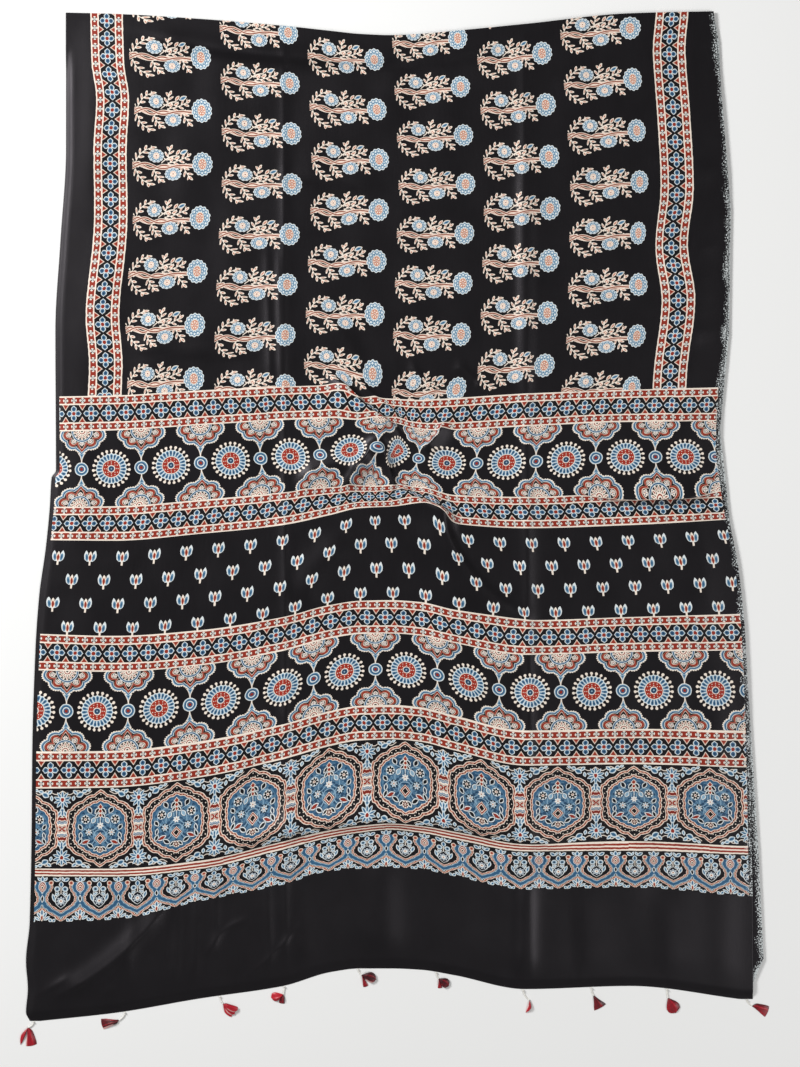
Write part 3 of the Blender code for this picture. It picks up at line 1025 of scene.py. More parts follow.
@dataclass
class MedallionPrint(BandPrint):
    """Round beaded medallions, with half rosettes growing from both borders midway between them."""

    pitch: float = 98.7
    height: float = 126.0
    beads: int = 23
    bead_ring: float = 29.7

    # The small discs between the half rosettes' tips.
    DISC = ((11.2, PALE), (9.9, STEEL), (8.6, BLUE), (6.2, PALE), (4.6, BLUE), (2.6, RED))
    # The medallion, inwards: its sky blue disc, the drops on it, its red disc, and rings of specks on
    # that as rows of radius, number and size, and its middle.
    SKY_DISC = ((25.8, PALE), (24.4, SKY))
    DROP = ((0, BLUE), (-1.2, NAVY))
    RED_DISC = ((15.2, CREAM), (14.1, SCARLET))
    SPECKS = ((11.4, 12, 0.75), (8.3, 8, 0.7))
    HEART = ((6.1, CREAM), (4.8, BLUE), (3.3, NAVY), (1.5, SKY))
    # The half rosette, inwards: its rim, the line inside that, its arches, the florets under them, the
    # daisy's ground, its rays and its middle.
    RIM = ((0.9, CREAM), (-0.3, SKY), (-1.7, BLUE))
    RIM_LINE = ((35.9, PALE), (34.9, BLACK))
    ARCH = ((34.4, SALMON), (33.7, RED), (30.4, SALMON), (29.7, CREAM), (28.9, BLACK))
    FLORET = ((2.1, CREAM), (0.9, BLUE))
    DAISY = ((18.4, PALE), (17.5, BLUE), (15.4, PALE), (14.5, BLACK))
    RAY = ((0, CREAM), (-1.3, RED))
    DAISY_HEART = ((7, CREAM), (5.4, RED), (4, CREAM), (2, BLACK))

    def paint(self) -> None:
        """Lay the half rosettes, the small discs between their tips, and the medallions."""
        up = self.v - self.height / 2
        between = (self.u - self.pitch / 2).wrap(self.pitch)
        self.paint_half_rosette(Spot(between, self.height / 2 - abs(up)))
        self.rings(Spot(between, up).distance(), self.DISC)
        self.paint_medallion(Spot(self.u.wrap(self.pitch), up))
        self.paint_margins()

    def paint_medallion(self, spot: Spot) -> None:
        """Lay beads on stems, a sky blue disc with dark drops, and a speckled red disc with a blue middle.

        Args:
            spot: the place as seen from the medallion's middle.
        """
        radius = spot.distance()
        spoke = spot.spoke(self.beads, radius)
        side = abs(spoke)
        self.fill(Spot(spoke, radius - self.bead_ring).distance(), CREAM, 2.25)
        self.ink(side.under(0.9) * radius.near(26.5, 2.5), CREAM)
        self.rings(radius + side * 0.4, self.SKY_DISC)
        self.rings(Spot(spoke, radius).oval(0, 20.6, 1.8, 3.2), self.DROP)
        self.ink(abs(spot.spoke(self.beads, radius, True)).under(0.55) * radius.near(20.2, 4.4), PALE)
        self.ink(side.under(0.7) * radius.near(16.6, 1.3), BLUE)
        self.rings(radius, self.RED_DISC)
        for ring, count, size in self.SPECKS:
            self.fill(Spot(spot.spoke(count, radius), radius - ring).distance(), CREAM, size)
        self.rings(radius, self.HEART)

    def paint_half_rosette(self, spot: Spot) -> None:
        """Lay five arched red lobes inside a beaded blue rim, round a half daisy, with a pointed tip.

        Both the rim and the arches are the distance from the middle plus a share of the squared angle
        from their lobe's middle line, which draws each lobe as a round arch.

        Args:
            spot: the place as seen from the rosette's middle on the border, with y away from the border.
        """
        wide = Spot(spot.x, spot.y * 1.15)
        reach = wide.distance()
        angle = wide.angle()
        lobe = angle.wrap(math.pi / 5)
        hollow = lobe * lobe
        peak = (5 - abs(spot.x)).high(0)
        rim = reach + hollow * 44 - peak
        slant = 51.5 - spot.y
        tip = (abs(spot.x) - slant * slant * 0.024).high(37 - spot.y)
        beads = abs(angle.sine(0.19, 1))
        self.fill(rim - beads * 1.9, CREAM, 40.4)
        self.rings((rim - 39.9).low(tip), self.RIM)
        self.rings(rim, self.RIM_LINE)
        self.rings(reach + hollow * 88 - peak, self.ARCH)
        floret = Spot(lobe * reach, reach - 23.8).eightfold()
        self.rings(floret.distance(2.3, 0), self.FLORET)
        self.ink(floret.distance().under(0.8), RED)
        inner = spot.distance()
        self.rings(inner, self.DAISY)
        self.rings(Spot(spot.spoke(14, inner), inner).leaf(0, 10.8, 2, 4.4), self.RAY)
        self.rings(inner, self.DAISY_HEART)


@dataclass
class TulipPrint(BandPrint):
    """Half-drop rows of small tulips on the bare ground."""

    pitch: float = 52.6
    row_pitch: float = 37.2
    first_row: float = 13.0
    last: float = 142.0

    def paint(self) -> None:
        """Lay the tulips: a cream cup with three points, two blue petals, a red one and a stem."""
        row = (self.v - self.first_row) / self.row_pitch + 0.5
        shift = (row.whole() * 0.5).wrap(1) * self.pitch
        spot = Spot((self.u + shift).wrap(self.pitch), (self.v - self.first_row).wrap(self.row_pitch))
        side = spot.mirrored()
        self.ink(side.x.under(1.5) * spot.y.near(-10.5, 4), CREAM)
        self.fill(side.oval(0, -2.6, 9.4, 6.2), PALE)
        self.fill(side.leaf(6.1, 0.3, 3.9, 8.9, -9), PALE)
        self.fill(side.leaf(0, -0.8, 3.6, 8.6), CREAM)
        self.fill(side.leaf(3.3, 6.2, 0.9, 5, -6), BLACK)
        self.rings(side.oval(5.5, -1.6, 2.5, 5.6, -9), ((0, STEEL), (-1.2, BLUE)))
        self.rings(side.leaf(0, -2.2, 2.4, 6), ((0, SALMON), (-0.7, RED)))
        self.ink(self.v.over(self.last), BLACK)
        self.paint_margins()


@dataclass
class ShieldPrint(BandPrint):
    """Lobed six-sided shields with a flowered blue field, joined by striped links."""

    pitch: float = 120.7
    height: float = 128.0
    outer_rim: float = 53.2
    inner_rim: float = 42.8

    RIM = ((0, CREAM), (-0.9, SALMON))
    OUTER_LINE = ((-3.6, CREAM), (-4.5, BLACK))
    INNER_LINE = ((-3.5, CREAM), (-4.3, BLUE))
    # Rings of dots between the two rims: size on the outer rim's scale, and whether it is half a dot on.
    DOT_RINGS = ((46, False), (42.4, True), (38.8, False))
    # Scrolls of the field, as circles: x, y, radius.
    SCROLLS = ((0, 4, 16.5), (17, 10, 13), (20, -13, 12.5), (0, -12, 10.5))
    # Leaves of the field, on both sides of its middle: x, y, half width, half length, turn, ink.
    LEAVES = (
        (5, 28, 2.6, 5.4, 38, BLACK), (4.2, 20.6, 2.3, 4.8, 42, BLACK),
        (17, 29, 3.4, 5.6, -30, BLACK), (31.5, 2.5, 3, 5, -35, BLACK),
        (31, -10.5, 2.5, 5.2, 12, NAVY), (23, -21, 3, 7, 66, RED),
        (31.5, -20, 2.7, 5.6, 28, BLACK), (15.5, -27, 3, 6.2, -58, BLACK),
        (6.2, -31.5, 2.4, 5, 48, BLACK), (11, 13, 3.2, 5, 24, SKY),
    )
    # Flowers of the field, on both sides of its middle: x, y, radius, ground, petals and their cores.
    BLOOMS = (
        (18, -5.5, 5.9, BLACK, SKY, CREAM), (23.5, 14.5, 6.4, PALE, BLACK, BLACK),
        (0, 5, 5.6, BLUE, PALE, CREAM), (0, -33, 4.6, CREAM, BLACK, RED),
    )
    HEART = ((7.9, NAVY), (7.1, CREAM), (6.2, RED), (4.4, CREAM), (3.4, BLACK))
    # Red diamonds down the middle line: place up and size.
    DIAMONDS = ((34, 2.9), (27.2, 2.4), (21, 2.1))
    # Stripes of a link: middle and half width, from the link's middle up and down, and ink.
    LINK_STRIPES = ((15.6, 2.4, RED), (15.6, 0.5, DARK_RED), (11.3, 0.9, BLUE), (8.9, 0.9, STEEL))
    LINK_RING = ((2.6, BLACK), (2, CREAM), (1.3, RED))
    LINK_LEAVES = ((0, 27, 3.4, 7.4, 0), (5.2, 23.4, 2.4, 5.6, 38))
    LINK_LEAF = ((0.8, PALE), (-0.5, SKY), (-1.6, BLUE))
    STAR_PETAL = ((0, PALE), (-0.9, SKY), (-1.6, BLUE))
    STAR_HEART = ((0.9, PALE), (-0.3, RED))
    # Leaves of the vines above and below the shields' shoulders: x, y, half width, half length, turn.
    VINE = (
        (33, 53.4, 3.6, 5.8, 62), (40, 57.4, 2.2, 4.2, -52), (25.6, 58.8, 2.2, 4, 76),
        (18.6, 60.8, 1.5, 2.8, 60), (43, 48, 1.9, 3.6, 10),
    )
    VINE_LEAF = ((0.9, PALE), (-0.5, SKY), (-1.5, BLUE))

    def paint(self) -> None:
        """Lay the vines, the links, the shields' rims and dots, and the blue fields.

        A shield's size at a place is a mix of a hexagon and a circle, less round lobes.
        """
        up = self.v - self.height / 2
        spot = Spot(self.u.wrap(self.pitch), up)
        side = spot.quartered()
        self.paint_vine(side)
        self.paint_links(Spot((self.u - self.pitch / 2).wrap(self.pitch), up).mirrored())
        hexagon = side.x.high(side.x * 0.5 + side.y * 0.865)
        radius = side.distance()
        lobes = abs(spot.angle().sine(TURN / 8, math.pi / 2))
        outer = hexagon * 0.8 + radius * 0.2 - lobes * 2.6 + 0.9
        dashes = spot.angle().sine(TURN / 54).over(-0.2, 0.3)
        self.rings(outer - self.outer_rim, self.RIM)
        self.ink(outer.near(50.9, 0.8) * dashes, DARK_RED)
        self.rings(outer - self.outer_rim, self.OUTER_LINE)
        for ring, half_turn in self.DOT_RINGS:
            dots = Spot(spot.spoke(40, radius, half_turn), outer - ring)
            self.fill(dots.distance(), CREAM, 0.8)
        inner = hexagon * 0.5 + radius * 0.5 - abs(spot.angle().sine(TURN / 11, math.pi / 2)) * 1.4
        self.rings(inner - self.inner_rim, self.RIM)
        self.ink(inner.near(40.5, 0.75) * dashes, DARK_RED)
        self.rings(inner - self.inner_rim, self.INNER_LINE)
        self.paint_field(spot.mirrored())
        self.paint_margins()

    def paint_field(self, side: Spot) -> None:
        """Lay the field's patches, scrolls, leaves, flowers and heart on both sides of its middle.

        Args:
            side: the place as seen from the field's middle, with x always to the right.
        """
        within = side.distance().under(37.5)
        patches = noise(side.vector, 0.13, 2)
        self.ink(patches.over(0.52, 0.06) * within * 0.55, NAVY)
        self.ink(patches.under(0.46, 0.06) * within * 0.7, STEEL)
        self.ink(patches.near(0.5, 0.006, 0.006) * within, SKY)
        for x, y, radius in self.SCROLLS:
            self.ink(side.distance(x, y).near(radius, 0.65), SKY)
        self.ink(side.x.under(0.6) * side.y.near(16, 15), PALE)
        for *place, dye in self.LEAVES:
            self.rings(side.leaf(*place), ((1.5, NAVY), (0.7, PALE), (-0.7, dye)))
        for x, y, size, ground, petals, cores in self.BLOOMS:
            self.flower(side.moved(x, y), size, 7, (ground, petals, cores, CREAM, RED))
        self.rings(side.x * 0.8 + abs(side.y + 15) * 0.75, self.HEART)
        for y, size in self.DIAMONDS:
            self.rings(side.x * 0.9 + abs(side.y - y) * 0.75, ((size + 1, CREAM), (size, RED)))

    def paint_links(self, side: Spot) -> None:
        """Lay a link's wavy stripes and rings, a leaf above and below, and a star flower at either end.

        Args:
            side: the place as seen from the link's middle, with x always to the right.
        """
        upright = Spot(side.x, abs(side.y))
        wave = upright.y + side.x.sine(5.4) * 0.7
        link = upright.y.under(19) * side.x.under(8.4)
        self.ink(link, CREAM)
        for middle, half, dye in self.LINK_STRIPES:
            self.ink(link * wave.near(middle, half), dye)
        self.rings(abs(side.distance(4.4, 0) - 3), self.LINK_RING, link)
        for leaf in self.LINK_LEAVES:
            self.rings(upright.leaf(*leaf), self.LINK_LEAF)
        star = upright.moved(0, 45.5)
        radius = star.distance()
        self.rings(Spot(star.spoke(10, radius), radius).leaf(0, 8, 2.6, 6.6), self.STAR_PETAL)
        self.rings(star.oval(0, 0, 2.8, 4, -24), self.STAR_HEART)

    def paint_vine(self, side: Spot) -> None:
        """Lay the small vines in the corners above and below the shields' shoulders.

        Args:
            side: the place as seen from the shield's middle, with x and y always outwards.
        """
        stem = side.y - 57 - (side.x - 30).sine(26) * 3
        self.ink(abs(stem).under(0.6) * side.x.over(14), CREAM)
        for leaf in self.VINE:
            self.rings(side.leaf(*leaf), self.VINE_LEAF)


@dataclass
class ArchPrint(BandPrint):
    """A row of U-shaped arches under five stripes: the foot of the printed end.

    reach is what the curve of an arch's band is measured in, across, and start is where it has its 0.
    """

    pitch: float = 60.35
    height: float = 75.0
    stripe: float = 2.6
    block: float = 128.0
    reach: float = 44.0
    start: float = -12.0

    # Where the band's middle runs: height as a share, and place across as a share of reach.
    COURSE = (
        (0, 0), (0.13, 0.27), (0.19, 0.44), (0.27, 0.67), (0.36, 0.84), (0.45, 0.922), (0.52, 0.936),
        (0.62, 0.873), (0.71, 0.773), (0.79, 0.75), (0.90, 0.78), (1, 0.80),
    )
    # The band's edges, and inside the dashes on them its line and its blue core.
    EDGE = ((8.3, CREAM), (7.5, SALMON))
    CORE = ((5.6, CREAM), (5, BLACK), (4, PALE), (3.4, STEEL), (2.3, BLUE))
    # Leaves, as seen from an arch's middle and its foot: x, y, half width, half length, turn.
    LEAVES = (
        (11.6, 39, 2.4, 6.8, -16), (6.4, 45, 1.8, 4.6, 52), (0, 61, 3.4, 5.2, 0),
        (8.4, 69, 2.7, 5, -58), (3, 69.6, 1.8, 4, 26),
    )
    # Leaves of the fan between two arches, as seen from the middle of the gap.
    FAN = (
        (0, 15.5, 2.6, 8, 0), (4.6, 11.4, 2.2, 6.4, -30), (7.6, 6, 2, 5.4, -58),
        (0, 69.5, 3, 5, 0), (5, 69.5, 1.9, 4.4, -44), (13.5, 3, 2.4, 3.6, 40),
        (19, 2.2, 2.2, 3.4, -40),
    )
    LEAF = ((0.4, PALE), (-0.8, SKY), (-1.6, BLUE))
    SHOULDER = ((3.9, CREAM), (3, SALMON), (1.6, RED))
    TEAR = ((7.4, PALE), (6.4, RED), (5, CREAM), (4, RED), (2.6, CREAM), (1.4, BLACK))
    BUD = ((4.6, PALE), (3.4, SKY), (1.9, NAVY))

    def paint(self) -> None:
        """Lay the leaves and flowers, the arches' bands, the drops between them and the stripes."""
        side = Spot(self.u.wrap(self.pitch), self.v).mirrored()
        between = Spot(self.pitch / 2 - side.x, self.v)
        self.paint_flower(side)
        for leaf in self.FAN:
            self.rings(between.leaf(*leaf), self.LEAF)
        self.rings(between.leaf(0, 7, 1.8, 4.6), ((0.7, CREAM), (-0.3, RED)))
        self.paint_arch(side)
        self.rings(side.distance(16, 63.6), self.SHOULDER)
        self.rings(between.leaf(0, 37.5, 1.9, 5), ((1, PALE), (-0.2, BLACK)))
        tear = between.moved(0, 55.5)
        self.rings(tear.distance() * 0.8 + abs(tear.x) * 0.34 + tear.y * -0.16, self.TEAR)
        self.paint_stripes()
        self.paint_margins()

    def paint_arch(self, side: Spot) -> None:
        """Lay the wavy band of an arch, with red dashes between its edge and its core.

        Args:
            side: the place as seen from the arch's middle and foot, with x always to the right.
        """
        middle = read_curve(self.v / self.height, self.COURSE) * self.reach + self.start
        slope = map_range(self.v, 22, 34, 0.62, 1)
        off = abs(side.x - middle) * slope + self.v.sine(6.4) * 0.5
        body = self.v.near(33, 32)
        dashes = self.v.sine(3.2).over(-0.3, 0.3)
        self.rings(off, self.EDGE, body)
        self.ink(off.near(6.6, 0.75) * body * dashes, RED)
        self.rings(off, self.CORE, body)

    def paint_flower(self, side: Spot) -> None:
        """Lay the flower that hangs in the arch, with its stem, leaves and buds.

        Args:
            side: the place as seen from the arch's middle and foot, with x always to the right.
        """
        self.ink(side.x.under(0.6) * self.v.near(54, 12), CREAM)
        self.ink(side.distance(0, 47).near(9, 0.5) * self.v.under(50), PALE)
        for leaf in self.LEAVES:
            self.rings(side.leaf(*leaf), self.LEAF)
        self.rings(side.distance(6.2, 53.4), self.BUD)
        self.rings(side.leaf(0, 34, 9.2, 12), ((0.5, PALE), (-0.8, BLACK)))
        self.flower(side.moved(0, 33.5), 7.2, 8, (NAVY, PALE, BLUE, CREAM, RED))

    def paint_stripes(self) -> None:
        """Lay five even stripes, cream and red by turns, which step a little at each block."""
        up = self.v - self.height + (self.u / self.block).whole().sine(2.6) * 0.5
        self.ink(self.v.over(self.height), CREAM)
        red = abs((up - 1.5 * self.stripe).wrap(2 * self.stripe)).under(self.stripe * 0.56)
        self.ink(red * up.near(2.5 * self.stripe, 1.8 * self.stripe), RED)


@dataclass(frozen=True)
class Sprig:
    """A leafy shoot from start to end, in millimetres from the flower's middle, bowed to its left."""

    start: Place
    end: Place
    bow: float = 0.0
    leaf: float = 10.4

    LEAF = ((0, CREAM), (-1.15, SALMON))
    TIP = ((0, CREAM), (-1.1, SALMON))

    def paint(self, board: Board, spot: Spot) -> None:
        """Lay a thin stem, leaves that lean forward on it by turns, and a last leaf at its end.

        Args:
            board: the print in the making.
            spot: the place as seen from the flower's middle.
        """
        run_x, run_y = self.end[0] - self.start[0], self.end[1] - self.start[1]
        length = math.hypot(run_x, run_y)
        way = (run_x / length, run_y / length, 0)
        shift = -(self.start[0] * way[0] + self.start[1] * way[1])
        turn = self.start[0] * way[1] - self.start[1] * way[0]
        along = vector_node("DOT_PRODUCT", spot.vector, way) + shift
        aside = vector_node("DOT_PRODUCT", spot.vector, (-way[1], way[0], 0)) + turn
        if self.bow:
            aside = aside - along * (length - along) * (4 * self.bow / length**2)
        off = abs(aside)
        other = aside.over(0, 0.01) * (self.leaf / 2)
        leaf = Spot((along - off * 0.85 + other).wrap(self.leaf), off).oval(0, 3.9, 2.4, 3.7)
        within = along.near(length / 2 + 1, length / 2 + 1, 0.5)
        board.ink(off.under(0.6) * within, CREAM)
        board.rings(leaf, self.LEAF, within)
        board.rings(Spot(along - length - 2.4, aside).oval(0, 0, 4.4, 2.2), self.TIP)


@dataclass
class BodyPrint(BandPrint):
    """The body: flowering branches that lie sideways in half-drop columns, and a border at each side.

    column is the place across of the first column, cell_middle how far the middle of a column's cell is
    from its flower, and border_gap how far the branches keep off the borders. Nothing is printed from
    last on.
    """

    column: float = 236.0
    pitch: float = 150.8
    cell_middle: float = -51.0
    row_pitch: float = 89.5
    border_inset: float = 52.0
    border_gap: float = 5.0
    last: float = 1012.0

    SPRIGS = (
        Sprig((-112, 1), (-86, 26), 5), Sprig((-59, 6), (-55, 25), 1),
        Sprig((-112, -8), (-88, -33), -5), Sprig((-82, -10), (-70, -27), -2, 8.6),
        Sprig((-34, -3), (-21, -22), -1), Sprig((-60, 1), (-25, 13), -2),
    )
    # The blue flowers: x, y, half width, half height, number of scallops.
    FLOWERS = ((0, 0, 17.6, 20.2, 14), (-79, 13, 13, 11.2, 11), (-50, -17, 14.4, 10.8, 12))
    SCALE_SPECK = ((0, STEEL), (-0.35, BLUE))
    FLOWER_HEART = ((0, CREAM), (-1, SALMON))
    BUD = ((0, CREAM), (-1.2, SKY), (-2.5, BLUE))
    BUD_LEAF = ((0, CREAM), (-1.2, SALMON))
    # The trunk's strands: length and start of each one's wave.
    STRANDS = ((66, 0.4), (52, 2.7), (43, 4.8), (58, 5.6))
    STRAND = ((2.1, CREAM), (1.3, SALMON), (0.5, DARK_RED))

    def paint(self) -> None:
        """Lay the branches, keep them off the margins, and lay the side borders.

        The place along a column is the cloth's own attribute, counted in rows of branches.
        """
        row = read_attribute(self.u.tree, "sprig_row")
        x = (self.u - self.column - self.cell_middle).wrap(self.pitch) + self.cell_middle
        spot = Spot(x, row.wrap(1) * self.row_pitch)
        for sprig in self.SPRIGS:
            sprig.paint(self, spot)
        self.paint_branch(spot)
        for flower in self.FLOWERS:
            self.paint_flower(spot, *flower)
        half, strip = ClothShape.width / 2, GuardStrips.width
        from_side = half - abs(self.u - half)
        self.ink(from_side.under(self.border_inset + strip + self.border_gap), BLACK)
        self.ink(self.u.over(self.last), BLACK)
        across = from_side - self.border_inset
        border = self.paint_strips(self.v, across)
        self.colour = mix(across.near(strip / 2, strip / 2), self.colour, border)
        self.fray()

    def paint_branch(self, spot: Spot) -> None:
        """Lay the trunk, whose strands wave past each other, and the bud on its curved stalk.

        Args:
            spot: the place as seen from the flower's middle.
        """
        stalk = spot.y - 1 + (spot.x + 45) * (spot.x + 45) * 0.018 - 12
        self.ink(abs(stalk).under(0.9) * spot.x.near(-57, 14), CREAM)
        self.rings(spot.leaf(-32, 19.5, 3.8, 7.6, -64), self.BUD)
        self.rings(spot.leaf(-42, 19, 2.6, 5.6, -40), self.BUD_LEAF)
        self.rings(spot.leaf(-44, 9, 2.4, 5.4, -66), self.BUD_LEAF)
        off = spot.y + 4.4 + spot.x.sine(84)
        spread = map_range(spot.x, -108, -40, 4.8, 1.3)
        body = spot.x.near(-65, 52, 0.5)
        for length, start in self.STRANDS:
            self.rings(abs(off - spread * spot.x.sine(length, start)), self.STRAND, body)

    def paint_flower(
        self, spot: Spot, x: float, y: float, half_x: float, half_y: float, count: int
    ) -> None:
        """Lay one scalloped flower: rings of blue scales with dark specks round a dotted middle.

        Args:
            spot: the place as seen from the branch's large flower.
            x: how far this flower's middle lies to the right.
            y: how far its middle lies up.
            half_x: half its width.
            half_y: half its height.
            count: how many scallops its rim has.
        """
        size = (half_x + half_y) / 2
        local = Spot((spot.x - x) * (size / half_x), (spot.y - y) * (size / half_y))
        radius = local.distance()
        angle = local.angle()
        petal = abs(angle.wrap(TURN / count)) * radius
        self.rings(radius + petal * petal * 0.14, ((size, PALE), (size - 1.3, SKY)))
        pitch = size * 0.2
        ring = ((radius - 0.5) / pitch).whole()
        round_ring = (angle + ring * (math.pi / count)).wrap(TURN / count) * radius
        scale = Spot(round_ring, (radius - 0.5).wrap(pitch))
        outside = radius.under(size - 1.6)
        self.ink(scale.oval(0, 0, 2.8, pitch * 0.6).over(-0.35, 0.15) * outside, PALE)
        speck = scale.oval(0, -0.2, max(size * 0.1, 1.5), max(size * 0.066, 1.05))
        self.rings(speck, self.SCALE_SPECK, outside)
        self.rings(local.oval(0, 0, size * 0.4, size * 0.48), self.FLOWER_HEART)
        self.fill(Spot(local.spoke(7, radius), radius - size * 0.25).distance(), CREAM, 1.2)
        self.rings(radius, ((1.9, CREAM), (1.1, RED)))


# The print of each of the cloth's materials, in the order of its slots.
PRINTS: dict[str, type[BandPrint]] = {
    "plain": PlainPrint,
    "arches": ArchPrint,
    "shields": ShieldPrint,
    "strips": StripPrint,
    "medallions": MedallionPrint,
    "tulips": TulipPrint,
    "body": BodyPrint,
}


# ---------------------------------------------------------------- finishes


def new_material(name: str) -> bpy.types.Material:
    """Make a material with a shader and nothing else in it.

    Args:
        name: the material's name.

    Returns:
        The material.
    """
    material = bpy.data.materials.new(name)
    material.use_nodes = True
    return material


def dress(material: bpy.types.Material, values: dict[str, object]) -> None:
    """Link or set the inputs of a material's shader, which are given by name."""
    set_inputs(material.node_tree.nodes["Principled BSDF"], values)


class DyedCloth:
    """The surface of the printed silk: its weave, the streaks of its yarn, and uneven dye."""

    def __init__(self) -> None:
        """Build the groups that every band of the cloth shares."""
        self.place_group = self.build_place()
        self.cloth_group = self.build_cloth()
        self.strips = GuardStrips.build()

    def build_place(self) -> Group:
        """Make the group that finds the place on the print, shaken a little as by a wooden block's edge.

        Returns:
            The group, which takes the Print map in metres and puts out the Place in millimetres.
        """
        group = Group("block edge", {"Print": "Vector"}, {"Place": "Vector"})
        place = scaled(group.given("Print"), 1 / MM)
        shake = noise(place, 0.14, 2.0, "Color")
        moved = vector_node("MULTIPLY_ADD", shake, (1.7, 1.7, 0.0), (-0.85, -0.85, 0.0))
        set_inputs(group.end, {"Place": vector_node("ADD", place, moved)})
        return group

    def build_cloth(self) -> Group:
        """Make the group that turns a print's colour into dyed and woven cloth.

        The tone is 1 plus shares of four noises less a half: streaks along the warp, streaks along the
        weft, clouds and specks. The weave is a sine across times a sine along.

        Returns:
            The group, which takes the Colour and the Cloth map, and puts out Colour, Roughness and Height.
        """
        group = Group(
            "dyed cloth", {"Colour": "Color", "Cloth": "Vector"},
            {"Colour": "Color", "Roughness": "Float", "Height": "Float"},
        )
        place = scaled(group.given("Cloth"), 1 / MM)
        streaks = noise(vector_node("MULTIPLY", place, (0.9, 0.03, 1.0)), 1.0, 2.0)
        cross = noise(vector_node("MULTIPLY", place, (0.05, 1.1, 1.0)), 1.0, 2.0)
        cloudy = noise(place, 0.018, 2.0)
        speckle = noise(place, 1.1, 1.0)
        tone = (streaks - 0.5) * 0.30 + (cross - 0.5) * 0.16 + (cloudy - 0.5) * 0.35 + (speckle - 0.5) * 0.5
        warp, weft = split(place)
        set_inputs(group.end, {
            "Colour": scaled(group.given("Colour"), tone + 1.0),
            "Roughness": math_node("MULTIPLY_ADD", streaks + cloudy, 0.12, 0.29),
            "Height": warp.sine(1.1) * weft.sine(1.1) * 0.4 + streaks * 1.2 + cross * 0.8,
        })
        return group

    def material(self, name: str, kind: type[BandPrint]) -> bpy.types.Material:
        """Make one band's material.

        Args:
            name: the band's name.
            kind: its print.

        Returns:
            The material, whose print reads the Print map and whose weave reads the Cloth map.
        """
        material = new_material(f"cloth {name}")
        cloth = read_map(material.node_tree, "Cloth")
        place = self.place_group.place(Print=read_map(material.node_tree, "Print"))["Place"]
        band = kind(*split(place), cloth, self.strips)
        band.paint()
        woven = self.cloth_group.place(Colour=band.colour, Cloth=cloth)
        dress(material, {
            "Base Color": woven["Colour"],
            "Roughness": woven["Roughness"],
            "Normal": relief(woven["Height"], 0.25),
            "Specular IOR Level": kind.GLOSS,
            "Specular Tint": (1.0, 0.93, 1.0, 1.0),
            "Sheen Weight": 0.03,
            "Sheen Roughness": 0.35,
            "Sheen Tint": (0.78, 0.76, 0.86, 1.0),
        })
        return material


@dataclass(frozen=True)
class FibreFinish:
    """A dyed fibre with a fine grain: the petals' cloth and the sewing thread.

    light and dark are its two tones, as screen values from 0 to 255. A shaded finish also follows the
    piece's painted shade and highlight, its dark attribute, and has a painted pale highlight where its
    rim attribute says so.
    """

    name: str
    light: tuple[float, float, float]
    dark: tuple[float, float, float]
    roughness: float
    grain: float
    shaded: bool

    # The colour of the painted pale highlight on the petals' rims.
    RIM = (226, 176, 172)

    def material(self) -> bpy.types.Material:
        """Make the material: a light and a dark tone in patches, mixed by painted shade and highlight on a
        shaded finish, and a fine grain.

        Returns:
            The material.
        """
        material = new_material(self.name)
        tree = material.node_tree
        place = Field(new_node(tree, "TexCoord", {}).outputs["Object"])
        tone = noise(place, 240.0, 2.0)
        # Painted shade and highlight: the piece's dark attribute moves the tone towards the dark or the light
        # red.
        if self.shaded:
            tone = (tone - 0.5) * 0.8 + read_attribute(tree, "dark")
        colour = mix(map_range(tone, 0.0, 1.0, 0.0, 1.0), as_light(self.light), as_light(self.dark))
        # Painted highlight: the pale rim colour, where the rim attribute is.
        if self.shaded:
            colour = mix(read_attribute(tree, "rim") * 0.8, colour, as_light(self.RIM))
        grain = noise(place, self.grain, 2.0)
        dress(material, {
            "Base Color": colour,
            "Roughness": math_node("MULTIPLY_ADD", grain, 0.15, self.roughness),
            "Normal": relief(grain, 0.3),
        })
        return material


# ---------------------------------------------------------------- the saree


class Band(Enum):
    """The printed bands: start and end from the hem, material, and where the first motif's middle is."""

    PLAIN_END = (0, 155, "plain", 0)
    ARCHES = (155, 243, "arches", 49.5)
    SHIELDS = (243, 371, "shields", 110)
    LOWER_GUARD = (371, 429, "strips", 0)
    LOWER_MEDALLIONS = (429, 555, "medallions", 101.5)
    TULIP_GUARD = (555, 612, "strips", 5)
    TULIPS = (612, 762, "tulips", -3.9)
    UPPER_GUARD = (762, 819, "strips", 9)
    UPPER_MEDALLIONS = (819, 945, "medallions", 96)
    BODY_GUARD = (945, 1002, "strips", 3)
    BODY = (1002, 9000, "body", 0)

    def __init__(self, start: float, end: float, material: str, phase: float) -> None:
        """Name the values of a row.

        Args:
            start: where the band starts, along the cloth.
            end: where it ends.
            material: its material.
            phase: place across of its first motif's middle.
        """
        self.start = start
        self.end = end
        self.slot = list(PRINTS).index(material)
        self.phase = phase


